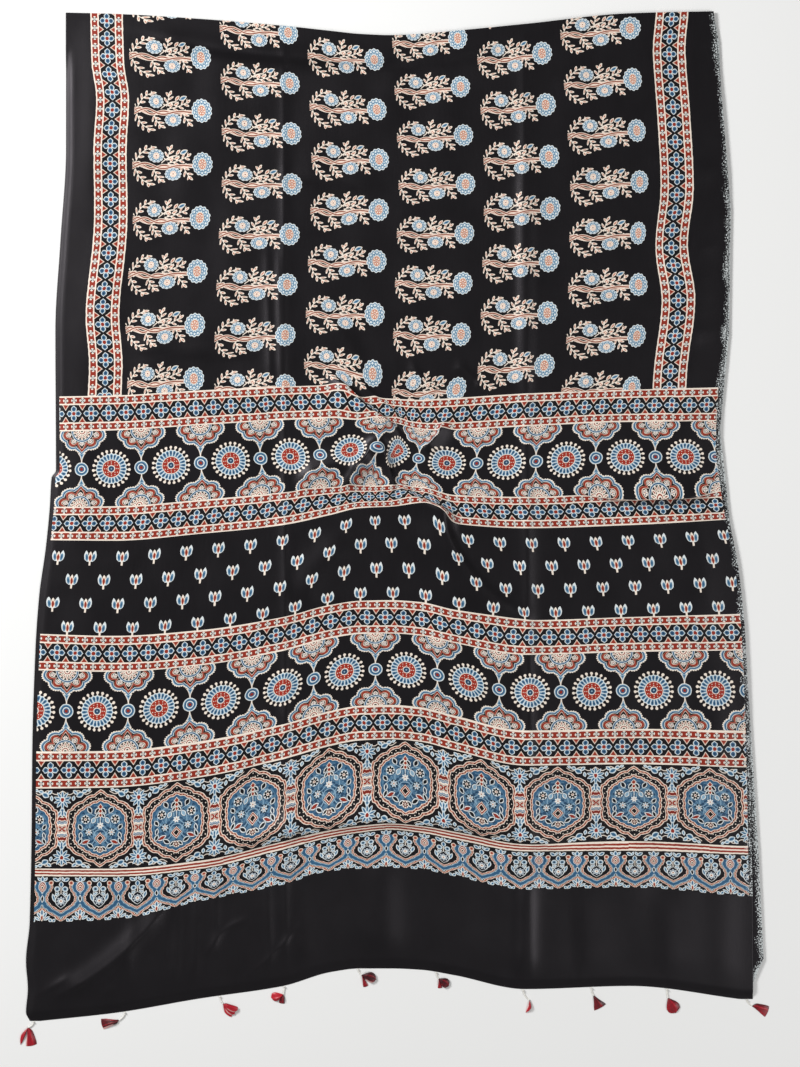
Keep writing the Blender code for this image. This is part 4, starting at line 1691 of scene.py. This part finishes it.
@dataclass(frozen=True)
class Saree:
    """The cloth: one sheet in four layers, with its print."""

    shape: ClothShape = ClothShape()
    flat: Place = (1.14, 6.4)

    ACROSS_STOPS = ((0, 1.5), (3, 3.0), (12, 4.7), (360, 2.9), (740, 4.7), (1137, 1.5), (1140, 0))
    ALONG_STOPS = (
        (0, 3), (16, 3.3), (155, 6.4), (230, 7), (243, 11), (371, 12), (429, 12), (555, 12),
        (612, 9.4), (762, 3.4), (819, 3.2), (945, 3.2), (1002, 4), (1050, 10), (1560, 7), (1600, 4),
        (1628.4, 0),
    )
    HIDDEN_ALONG = (0, 60, 230, 490, 760, 930, 1090, 1300, 1500, 1580, 1605, 1630)
    # Where rows of a hidden layer lie on one spot, each is this much further along the cloth.
    ROW_GAP = 0.001
    # The turned-under edge: how far out and how far down each of its lines lies, and its place on the cloth.
    HEM_ROLL = ((0.3, -0.12, 0.4), (0.3, -0.34, 0.8), (-0.1, -0.45, 1.2), (-1.6, -0.45, 2.6))
    # Columns of branches on the cloth: place across, the top one's place along, and the rows' pitch.
    COLUMNS = (
        (236, 1564, 90.3), (391, 1618, 87.7), (541, 1585, 90.6), (689, 1616, 85.7), (834, 1576, 88.0),
        (990, 1604, 85.4),
    )
    COLUMN_END = 24.0
    # How far the branches are moved to the left, at each place across.
    COLUMN_SHIFT = (
        (112, 0), (236, 0), (391, -4.2), (541, -3.4), (689, -0.6), (834, 5.2), (990, 0), (1030, 0),
    )
    # How far the side borders' outer lines lie from the selvedges, along the body.
    LEFT_BORDER = (
        (1002, 56), (1050, 58), (1140, 50), (1268, 56), (1402, 48), (1490, 53), (1550, 45), (1630, 43),
    )
    RIGHT_BORDER = (
        (1002, 60), (1035, 61), (1148, 55), (1243, 69), (1330, 60), (1478, 57), (1555, 56), (1630, 44),
    )
    # How far in from the selvedge the print moves with its border, and over how much more that fades.
    BORDER_END = 112.0
    BORDER_FADE = 60.0
    # The map for baking: start and size of the top layer and of the hidden ones across, and of both along.
    BAKE_TOP = (0.005, 0.90)
    BAKE_HIDDEN = (0.915, 0.08)
    BAKE_ALONG = (0.003, 0.994)

    def rows(self) -> tuple[Array, Array, Array]:
        """Work out every row of the cloth, from the hem to the hidden end.

        Returns:
            The points, the place across and the place along the flat cloth.
        """
        across = spaced(self.ACROSS_STOPS)
        shape = self.shape
        u, v = np.meshgrid(across, spaced(self.ALONG_STOPS))
        points, flat_u, flat_v = [shape.top_layer(u, v)], [u], [v]
        fold_run = math.pi * shape.step / 2
        for level in range(shape.layers - 2, -1, -1):
            goes_down = (shape.layers - 2 - level) % 2 == 0
            along = np.array(self.HIDDEN_ALONG[::-1] if goes_down else self.HIDDEN_ALONG, float)
            u, v = np.meshgrid(across, along)
            layer = shape.hidden_layer(level, u, v)
            bend = shape.half_round(points[-1][-1], layer[0], 1 if goes_down else -1)
            last = flat_v[-1][-1, 0]
            turned = last + fold_run * np.arange(1, len(bend) + 1) / (len(bend) + 1)
            travelled = np.abs(along - along[0]).clip(max=shape.top_along - shape.end_fold_rise)
            travelled = travelled + np.arange(len(along)) * self.ROW_GAP
            points += [bend, layer]
            flat_u += [np.tile(across, (len(bend), 1)), u]
            for places in (turned, last + fold_run + travelled):
                flat_v.append(np.tile(places[:, None], (1, len(across))))
        return np.concatenate(points), np.concatenate(flat_u), np.concatenate(flat_v)

    def rolled(self, points: Array, u: Array, v: Array) -> tuple[Array, Array, Array]:
        """Add the turned-under edge along both selvedges and the hem.

        Each line of the roll is the edge moved out and down by its row of the table.

        Args:
            points: the cloth's points.
            u: their places across the flat cloth.
            v: their places along it.

        Returns:
            The three, with the roll's lines around them.
        """
        outs, downs, runs = np.transpose(self.HEM_ROLL)
        count, flat = len(runs), np.zeros_like(runs)
        left = points[:, :1] + np.stack((-outs, flat, downs), axis=-1)[::-1]
        right = points[:, -1:] + np.stack((outs, flat, downs), axis=-1)
        points = np.concatenate((left, points, right), axis=1)
        beside = np.zeros((len(u), 1))
        u = np.concatenate((beside - runs[::-1], u, beside + self.shape.width + runs), axis=1)
        v = np.pad(v, ((0, 0), (count, count)), "edge")
        raised = points[0, :, 2:] > -downs[-1]
        hem = points[0] + np.stack((flat, -outs, downs), axis=-1)[::-1, None] * raised
        points = np.concatenate((hem, points))
        u = np.pad(u, ((count, 0), (0, 0)), "edge")
        v = np.concatenate((np.tile(-runs[::-1, None], (1, v.shape[1])), v))
        return points, u, v

    def corners(self, grid: Array) -> Array:
        """The value at each corner of each quad of the grid."""
        return grid.reshape(-1)[grid_faces(*grid.shape)]

    def print_map(self, u: Array, v: Array) -> tuple[Array, Array]:
        """Print place at each face corner, and the material number of each face.

        The place is that of the flat cloth less the start of the face's band and its first motif, and
        in the body it is drawn sideways so that the borders follow their tables.

        Args:
            u: the points' places across the flat cloth.
            v: their places along it.

        Returns:
            The print places in metres, and the material numbers.
        """
        corner_u, corner_v = self.corners(u), self.corners(v)
        middle = corner_v.mean(axis=1)
        place_u, place_v = corner_u.copy(), corner_v.copy()
        slots = np.zeros(len(middle), int)
        for band in Band:
            faces = (middle >= band.start) & (middle < band.end)
            slots[faces] = band.slot
            place_u[faces] -= band.phase
            place_v[faces] -= band.start
        body = middle >= Band.BODY.start
        side_u, side_v = corner_u[body], np.clip(corner_v[body], Band.BODY.start, self.shape.top_along)
        base = BodyPrint.border_inset
        near, far = side_u - self.BORDER_END, self.shape.width - self.BORDER_END - side_u
        left = (base - read_pairs(side_v, self.LEFT_BORDER)) * (1 - soft_step(near / self.BORDER_FADE))
        right = (read_pairs(side_v, self.RIGHT_BORDER) - base) * (1 - soft_step(far / self.BORDER_FADE))
        spread = np.interp(side_u, *np.transpose(self.COLUMN_SHIFT))
        place_u[body] += left + right + spread
        return np.stack((place_u, place_v), axis=-1) * MM, slots

    def sprig_rows(self, u: Array, v: Array) -> Array:
        """Find where each point lies along its column of branches.

        Args:
            u: the points' places across the flat cloth.
            v: their places along it.

        Returns:
            The place, counted in rows of branches.
        """
        columns = np.array(self.COLUMNS, float)
        column = columns[np.searchsorted(columns[:-1, 0] + self.COLUMN_END, u)]
        return (v - column[..., 1]) / column[..., 2]

    def bake_map(self, u: Array, v: Array) -> Array:
        """Lay out a map for baking: the top layer nearly fills it, and the hidden ones have a strip.

        Args:
            u: the points' places across the flat cloth.
            v: their places along it.

        Returns:
            The place on the map at each face corner.
        """
        corner_u, corner_v = self.corners(u), self.corners(v)
        top = (corner_v.mean(axis=1) < self.shape.top_along)[:, None]
        edge, far = u.min() - 1.0, u.max() + 1.0
        share_u = (corner_u - edge) / (far - edge)
        last = v.max() + 1.0
        share_top = (corner_v - v.min() + 1.0) / (self.shape.top_along - v.min() + 2.0)
        share_rest = (corner_v - self.shape.top_along + 4.0) / (last - self.shape.top_along + 4.0)
        strips = [start + size * share_u for start, size in (self.BAKE_TOP, self.BAKE_HIDDEN)]
        start, size = self.BAKE_ALONG
        place_v = start + size * np.where(top, share_top, share_rest)
        return np.stack((np.where(top, *strips), place_v), axis=-1)

    def build(self) -> bpy.types.Object:
        """Build the cloth, with its maps and a material for each kind of band.

        Returns:
            The piece.
        """
        points, u, v = self.rolled(*self.rows())
        finish = DyedCloth()
        materials = [finish.material(name, kind) for name, kind in PRINTS.items()]
        piece = add_piece("saree_cloth", points.reshape(-1, 3), grid_faces(*u.shape), materials)
        print_place, slots = self.print_map(u, v)
        add_uv_map(piece, "Print", print_place)
        add_uv_map(piece, "Cloth", np.stack((self.corners(u), self.corners(v)), axis=-1) * MM)
        add_uv_map(piece, "OFBake", self.bake_map(u, v))
        add_attribute(piece, "sprig_row", self.sprig_rows(u, v))
        piece.data.polygons.foreach_set("material_index", slots.astype(np.int32))
        stand_for(piece, "saree")
        return piece


# ---------------------------------------------------------------- the tassels


class Side(Enum):
    """How far one side of a petal reaches from its axis, as rows of (share of length, share of width)."""

    STRAIGHT = ((0, 0.10), (0.5, 0.53), (0.92, 0.95), (1, 1))
    FULL = ((0, 0.10), (0.17, 0.62), (0.5, 0.84), (0.9, 1), (1, 0.97))
    HOLLOW = ((0, 0.10), (0.3, 0.20), (0.6, 0.46), (0.85, 0.86), (1, 1))
    ROUND = ((0, 0.10), (0.16, 0.40), (0.38, 0.78), (0.62, 1), (0.8, 0.93), (0.93, 0.62), (1, 0.02))
    SLIM = ((0, 0.12), (0.3, 0.68), (0.55, 1), (0.8, 0.74), (0.93, 0.40), (1, 0.02))


STRAIGHT, FULL, HOLLOW, ROUND, SLIM = Side


@dataclass(frozen=True)
class Petal:
    """One petal: stiff cloth folded double, with its open side at the left, from the neck outwards.

    way is where it points, in degrees anticlockwise from the right, and left and right are its outlines
    as seen from the neck. bow is how far its middle bends to the left, dark how dark its red is painted
    on the whole, before its painted shade and highlight, and rim the share of its width that has a
    painted pale highlight, at its left side, or at its right one if below 0. base is how far it lies
    above the floor, where it rests on the next petal.
    """

    way: float
    length: float
    width: float
    left: Side
    right: Side
    bow: float = 0.0
    dark: float = 0.4
    rim: float = 0.0
    height: float = 3.4
    base: float = 0.0

    ROWS = 30
    COLUMNS = 64
    FLOOR_GAP = 0.25

    def build(self, neck: Array) -> tuple[Array, Array, Array]:
        """Work out the folded cloth.

        Round it at angle a, the place across is cos a times the half width of that side. The front rises
        as a dome, sin a to the power 0.7, with a ridge of exp(-5 times the distance across from it), and
        the whole swells from the neck and closes at the far end.

        Args:
            neck: where the petal starts, in millimetres.

        Returns:
            The points, the painted shade and the painted highlight at the rim, with a row for each share
            of the length.
        """
        s = np.sin(math.pi / 2 * np.linspace(0.0, 1.0, self.ROWS))[:, None]
        angle = np.linspace(0.02, TURN - 0.02, self.COLUMNS)[None, :]
        across, up = np.cos(angle), np.sin(angle)
        sides = np.where(across > 0, read_pairs(s, self.left.value), read_pairs(s, self.right.value))
        off = across * sides * self.width / 2 + self.bow * np.sin(math.pi * s)
        along = self.length * s * (1 - 0.05 * across**2)
        turn = math.radians(self.way)
        x = neck[0] + math.cos(turn) * along - math.sin(turn) * off
        y = neck[1] + math.sin(turn) * along + math.cos(turn) * off
        ridge = np.exp(-5 * np.abs(across - 0.35)) * np.clip(up, 0.0, 1.0)
        swell = (0.42 + 0.58 * np.sin(math.pi * s**0.8)) * np.sqrt(1.0001 - s**4)
        top = (0.5 + self.height * np.abs(up) ** 0.7 * (0.8 + 0.45 * ridge)) * swell
        z = self.FLOOR_GAP + np.where(up > 0, top, 0.5 * swell * (1 - np.abs(up)))
        z = z + self.base * soft_step(s / 0.35)
        points = np.stack(np.broadcast_arrays(x, y, z), axis=-1)
        # Painted shade and highlight: the red is painted darker on one side and towards the neck, and lighter
        # along the ridge.
        dark = self.dark + 0.22 * across - 0.6 * ridge + 0.3 * (1 - s) ** 2
        # Painted highlight: a pale band along one edge of the upper sheet, from a quarter of the way out.
        edge = across * (1.0 if self.rim > 0 else -1.0) - (1 - 2 * abs(self.rim))
        pale = soft_step(edge / 0.15) * soft_step((s - 0.25) / 0.2) * (up > -0.01)
        return points, dark, np.broadcast_to(pale, dark.shape)


@dataclass(frozen=True)
class Tassel:
    """One tassel: a thread from its knot on the hem to the neck, and petals spread from the neck."""

    number: int
    knot: float
    neck: Place
    petals: tuple[Petal, ...]

    THREAD = 0.8
    HEIGHT = 1.2
    KNOT_GAP = 0.65
    SEAT_GAP = 0.3
    THREAD_ROWS = 70
    THREAD_COLUMNS = 12
    # The plies' twist in radians a millimetre, and the groove between them as a share of the radius.
    TWIST = 1.9
    GROOVE = 0.16
    # Where the thread is thicker: by what share, how far along it, and over how much of it.
    KNOTS = ((0.8, 0.09, 0.07), (0.45, 0.96, 0.04))

    def build_petal(self, material: bpy.types.Material) -> bpy.types.Object:
        """Build the petals as one piece.

        How they were cut isn't known. The smaller of the mesh's area and a flat area from the petals'
        sizes is worked out, and not used. The flat area that is declared is the mesh's own, and that
        the two agree says nothing about either.

        Args:
            material: the petals' cloth.

        Returns:
            The piece, with its painted shade and its painted highlight as attributes.
        """
        turns = np.radians([petal.way for petal in self.petals])
        way = np.array((np.cos(turns).mean(), np.sin(turns).mean()))
        start = np.array(self.neck) + way / np.linalg.norm(way) * self.SEAT_GAP
        shells = [petal.build(start) for petal in self.petals]
        points, dark, rim = (np.concatenate(rows) for rows in zip(*shells))
        faces = grid_faces(Petal.ROWS, Petal.COLUMNS)[:, ::-1]
        count = Petal.ROWS * Petal.COLUMNS
        faces = np.concatenate([faces + index * count for index in range(len(shells))])
        piece = add_piece(f"tassel_petal_{self.number}", points.reshape(-1, 3), faces, [material])
        # The dark attribute carries the painted shade and highlight, and the rim attribute the painted pale
        # highlight.
        add_attribute(piece, "dark", dark)
        add_attribute(piece, "rim", rim)
        stand_for(piece, f"petal_{self.number}")
        width = 2.1 * MM * sum(petal.width for petal in self.petals)
        length = MM * max(petal.length for petal in self.petals)
        min(sheet_area(piece), width * length)
        return piece

    def build_thread(self, hem: float, material: bpy.types.Material) -> bpy.types.Object:
        """Build the thread: two plies twisted round each other, with a knot where it leaves the hem.

        Its path is a quadratic bend from the knot, square to the hem, to the neck. Round it the radius
        is the thread's, less a groove of cos(twice the angle, turned along the path), and larger at the knot.

        Args:
            hem: how far up the surface the hem is there.
            material: the thread's fibre.

        Returns:
            The piece.
        """
        start = np.array((self.knot, hem - self.KNOT_GAP))
        neck = np.array(self.neck, float)
        square = start + np.array((0.0, -np.linalg.norm(neck - start) / 2))
        back = square - neck
        end = neck + back / np.linalg.norm(back) * self.SEAT_GAP
        t = np.linspace(0.0, 1.0, self.THREAD_ROWS)[:, None]
        path = start * (1 - t) ** 2 + square * 2 * t * (1 - t) + end * t**2
        way = np.gradient(path, axis=0)
        way = way / np.linalg.norm(way, axis=1, keepdims=True)
        angle = (TURN * np.arange(self.THREAD_COLUMNS) / self.THREAD_COLUMNS)[None, :]
        travelled = t * np.linalg.norm(neck - start)
        groove = 1 - self.GROOVE * np.cos(2 * (angle - travelled * self.TWIST))
        knot = sum((more * np.exp(-(((t - place) / run) ** 2)) for more, place, run in self.KNOTS), 1)
        taper = np.sqrt(np.clip(np.minimum(t, 1 - t) / 0.015, 0.02, 1.0))
        radius = self.THREAD * 1.1 * groove * knot * taper
        x = path[:, :1] - way[:, 1:] * radius * np.cos(angle)
        y = path[:, 1:] + way[:, :1] * radius * np.cos(angle)
        z = np.maximum(self.HEIGHT, self.THREAD * 1.3 * knot) + radius * np.sin(angle)
        points = np.stack((x, y, z), axis=-1).reshape(-1, 3)
        faces = grid_faces(self.THREAD_ROWS, self.THREAD_COLUMNS, closed=True)[:, ::-1]
        piece = add_piece(f"tassel_thread_{self.number}", points, faces, [material])
        stand_for(piece, f"thread_{self.number}")
        return piece


def sheet_area(piece: bpy.types.Object) -> float:
    """Measure the area of a piece's mesh.

    Args:
        piece: the piece.

    Returns:
        The area in square metres.
    """
    areas = np.empty(len(piece.data.polygons), np.float32)
    piece.data.polygons.foreach_get("area", areas)
    return float(areas.sum())


TASSELS = (
    Tassel(1, -579, (-588, -797), (
        Petal(-79, 29.5, 18, FULL, STRAIGHT, 0, 0.45, -0.14),
        Petal(-114, 30, 6.5, SLIM, SLIM, -2, 0.2, 0, 2.6),
    )),
    Tassel(2, -433, (-443, -785), (
        Petal(194, 28, 17.6, FULL, HOLLOW, -1, 0.95, 0.2),
        Petal(184, 25, 8, STRAIGHT, HOLLOW, -1, 0.6, 0, 2.4),
    )),
    Tassel(3, -281, (-276, -759), (
        Petal(-24, 25, 11, FULL, ROUND, 0, 0.15, -0.2, 3.6, 2.6),
        Petal(-41, 25, 12, ROUND, ROUND, 0, 0.3, -0.2, 3.2, 1.3),
        Petal(-58, 25, 10, ROUND, SLIM, 0, 0.1, 0, 2.6),
    )),
    Tassel(4, -178, (-180, -744), (
        Petal(-168, 20, 14.5, ROUND, ROUND, 1, 0.05, 0, 4.6),
        Petal(-98, 14.5, 9, FULL, FULL, 0, 0.8, 0, 3),
    )),
    Tassel(5, -60, (-54, -713), (
        Petal(-17, 24, 16.5, ROUND, ROUND, 1.5, 1, -0.15, 3.6, 2),
        Petal(-70, 19.5, 9, STRAIGHT, STRAIGHT, 0, 0.65, 0.12, 3),
    )),
    Tassel(6, 65, (69, -719), (
        Petal(-36, 19.5, 15, ROUND, ROUND, 1.5, 0.95, 0, 3.6, 1.6),
        Petal(-82, 15, 7, STRAIGHT, STRAIGHT, 0, 0.6, 0.08, 3),
    )),
    Tassel(7, 204, (214.5, -753), (
        Petal(-107, 21, 6.4, SLIM, SLIM, 3, 0.25, -0.22, 3.4),
    )),
    Tassel(8, 313, (317, -746), (
        Petal(-61, 22, 21.5, STRAIGHT, STRAIGHT, 0, 0.85, 0, 3.2),
    )),
    Tassel(9, 434, (436, -750), (
        Petal(-62, 26.5, 21.5, ROUND, ROUND, 0.5, 0.55, 0, 4),
    )),
    Tassel(10, 562, (571, -762), (
        Petal(-22, 26, 18.5, FULL, STRAIGHT, 0, 0.6, 0, 3.2),
    )),
)


# ---------------------------------------------------------------- floor, light and camera


@dataclass(frozen=True)
class Setting:
    """A pale floor, soft studio light and a camera straight above, in metres."""

    aim: Place = (0.007, -0.0065)
    frame_height: float = 1.7072
    distance: float = 5.0
    sensor: float = 36.0
    floor_half: float = 4.0
    surround: float = 0.28

    # Lamps: name, place, size and power.
    LAMPS = (("key", (-2.7, 1.8, 2.2), 1.3, 165.0), ("fill", (2.8, -1.2, 2.8), 2.2, 55.0))

    def build_floor(self) -> None:
        """A plain pale floor under the cloth."""
        half = self.floor_half / MM
        points = np.array(((-half, -half, 0.0), (half, -half, 0.0), (half, half, 0.0), (-half, half, 0.0)))
        material = new_material("pale floor")
        dress(material, {
            "Base Color": (0.84, 0.84, 0.83, 1.0), "Roughness": 0.9, "Specular IOR Level": 0.1,
        })
        add_piece("floor", points, np.array(((0, 1, 2, 3),)), [material])

    def build_light(self) -> None:
        """A large soft light high on the left, a weaker one on the right, and an even surround."""
        for name, place, size, power in self.LAMPS:
            light = bpy.data.lights.new(name, "AREA")
            light.shape = "DISK"
            light.size = size
            light.energy = power
            lamp = bpy.data.objects.new(name, light)
            lamp.location = place
            aim = math.atan2(math.hypot(place[0], place[1]), place[2])
            lamp.rotation_euler = (0.0, aim, math.atan2(place[1], place[0]))
            bpy.context.scene.collection.objects.link(lamp)
        world = bpy.data.worlds.new("surround")
        world.use_nodes = True
        back = world.node_tree.nodes["Background"]
        set_inputs(back, {"Color": (1.0, 1.0, 1.0, 1.0), "Strength": self.surround})
        bpy.context.scene.world = world

    def build_camera(self) -> None:
        """A camera straight above, whose frame holds what the photograph's does."""
        lens = bpy.data.cameras.new("camera")
        lens.sensor_fit = "VERTICAL"
        lens.sensor_height = self.sensor
        lens.lens = self.sensor * self.distance / self.frame_height
        lens.clip_end = 50.0
        camera = bpy.data.objects.new("camera", lens)
        camera.location = (*self.aim, self.distance)
        bpy.context.scene.collection.objects.link(camera)
        bpy.context.scene.camera = camera

    def build(self) -> None:
        """Build the floor, the lights and the camera."""
        self.build_floor()
        self.build_light()
        self.build_camera()
        bpy.context.scene.view_settings.view_transform = "Standard"


def main() -> None:
    """Build the setting, the saree and its tassels."""
    logging.basicConfig(level=logging.INFO, format="%(message)s")
    Setting().build()
    saree = Saree()
    piece = saree.build()
    LOG.info("%s: %d faces", piece.name, len(piece.data.polygons))
    # The petals' light and dark reds, which their painted shade and highlight mix, with random patches.
    petal = FibreFinish("petal cloth", (184, 18, 38), (56, 3, 12), 0.32, 2500.0, True).material()
    thread = FibreFinish("white thread", (244, 242, 236), (214, 210, 202), 0.7, 4000.0, False).material()
    hem = saree.shape.hem()
    for tassel in TASSELS:
        height = float(np.interp(tassel.knot, hem[:, 0], hem[:, 1]))
        for made in (tassel.build_thread(height, thread), tassel.build_petal(petal)):
            LOG.info("%s: %d faces", made.name, len(made.data.polygons))


if __name__ == "__main__":
    main()
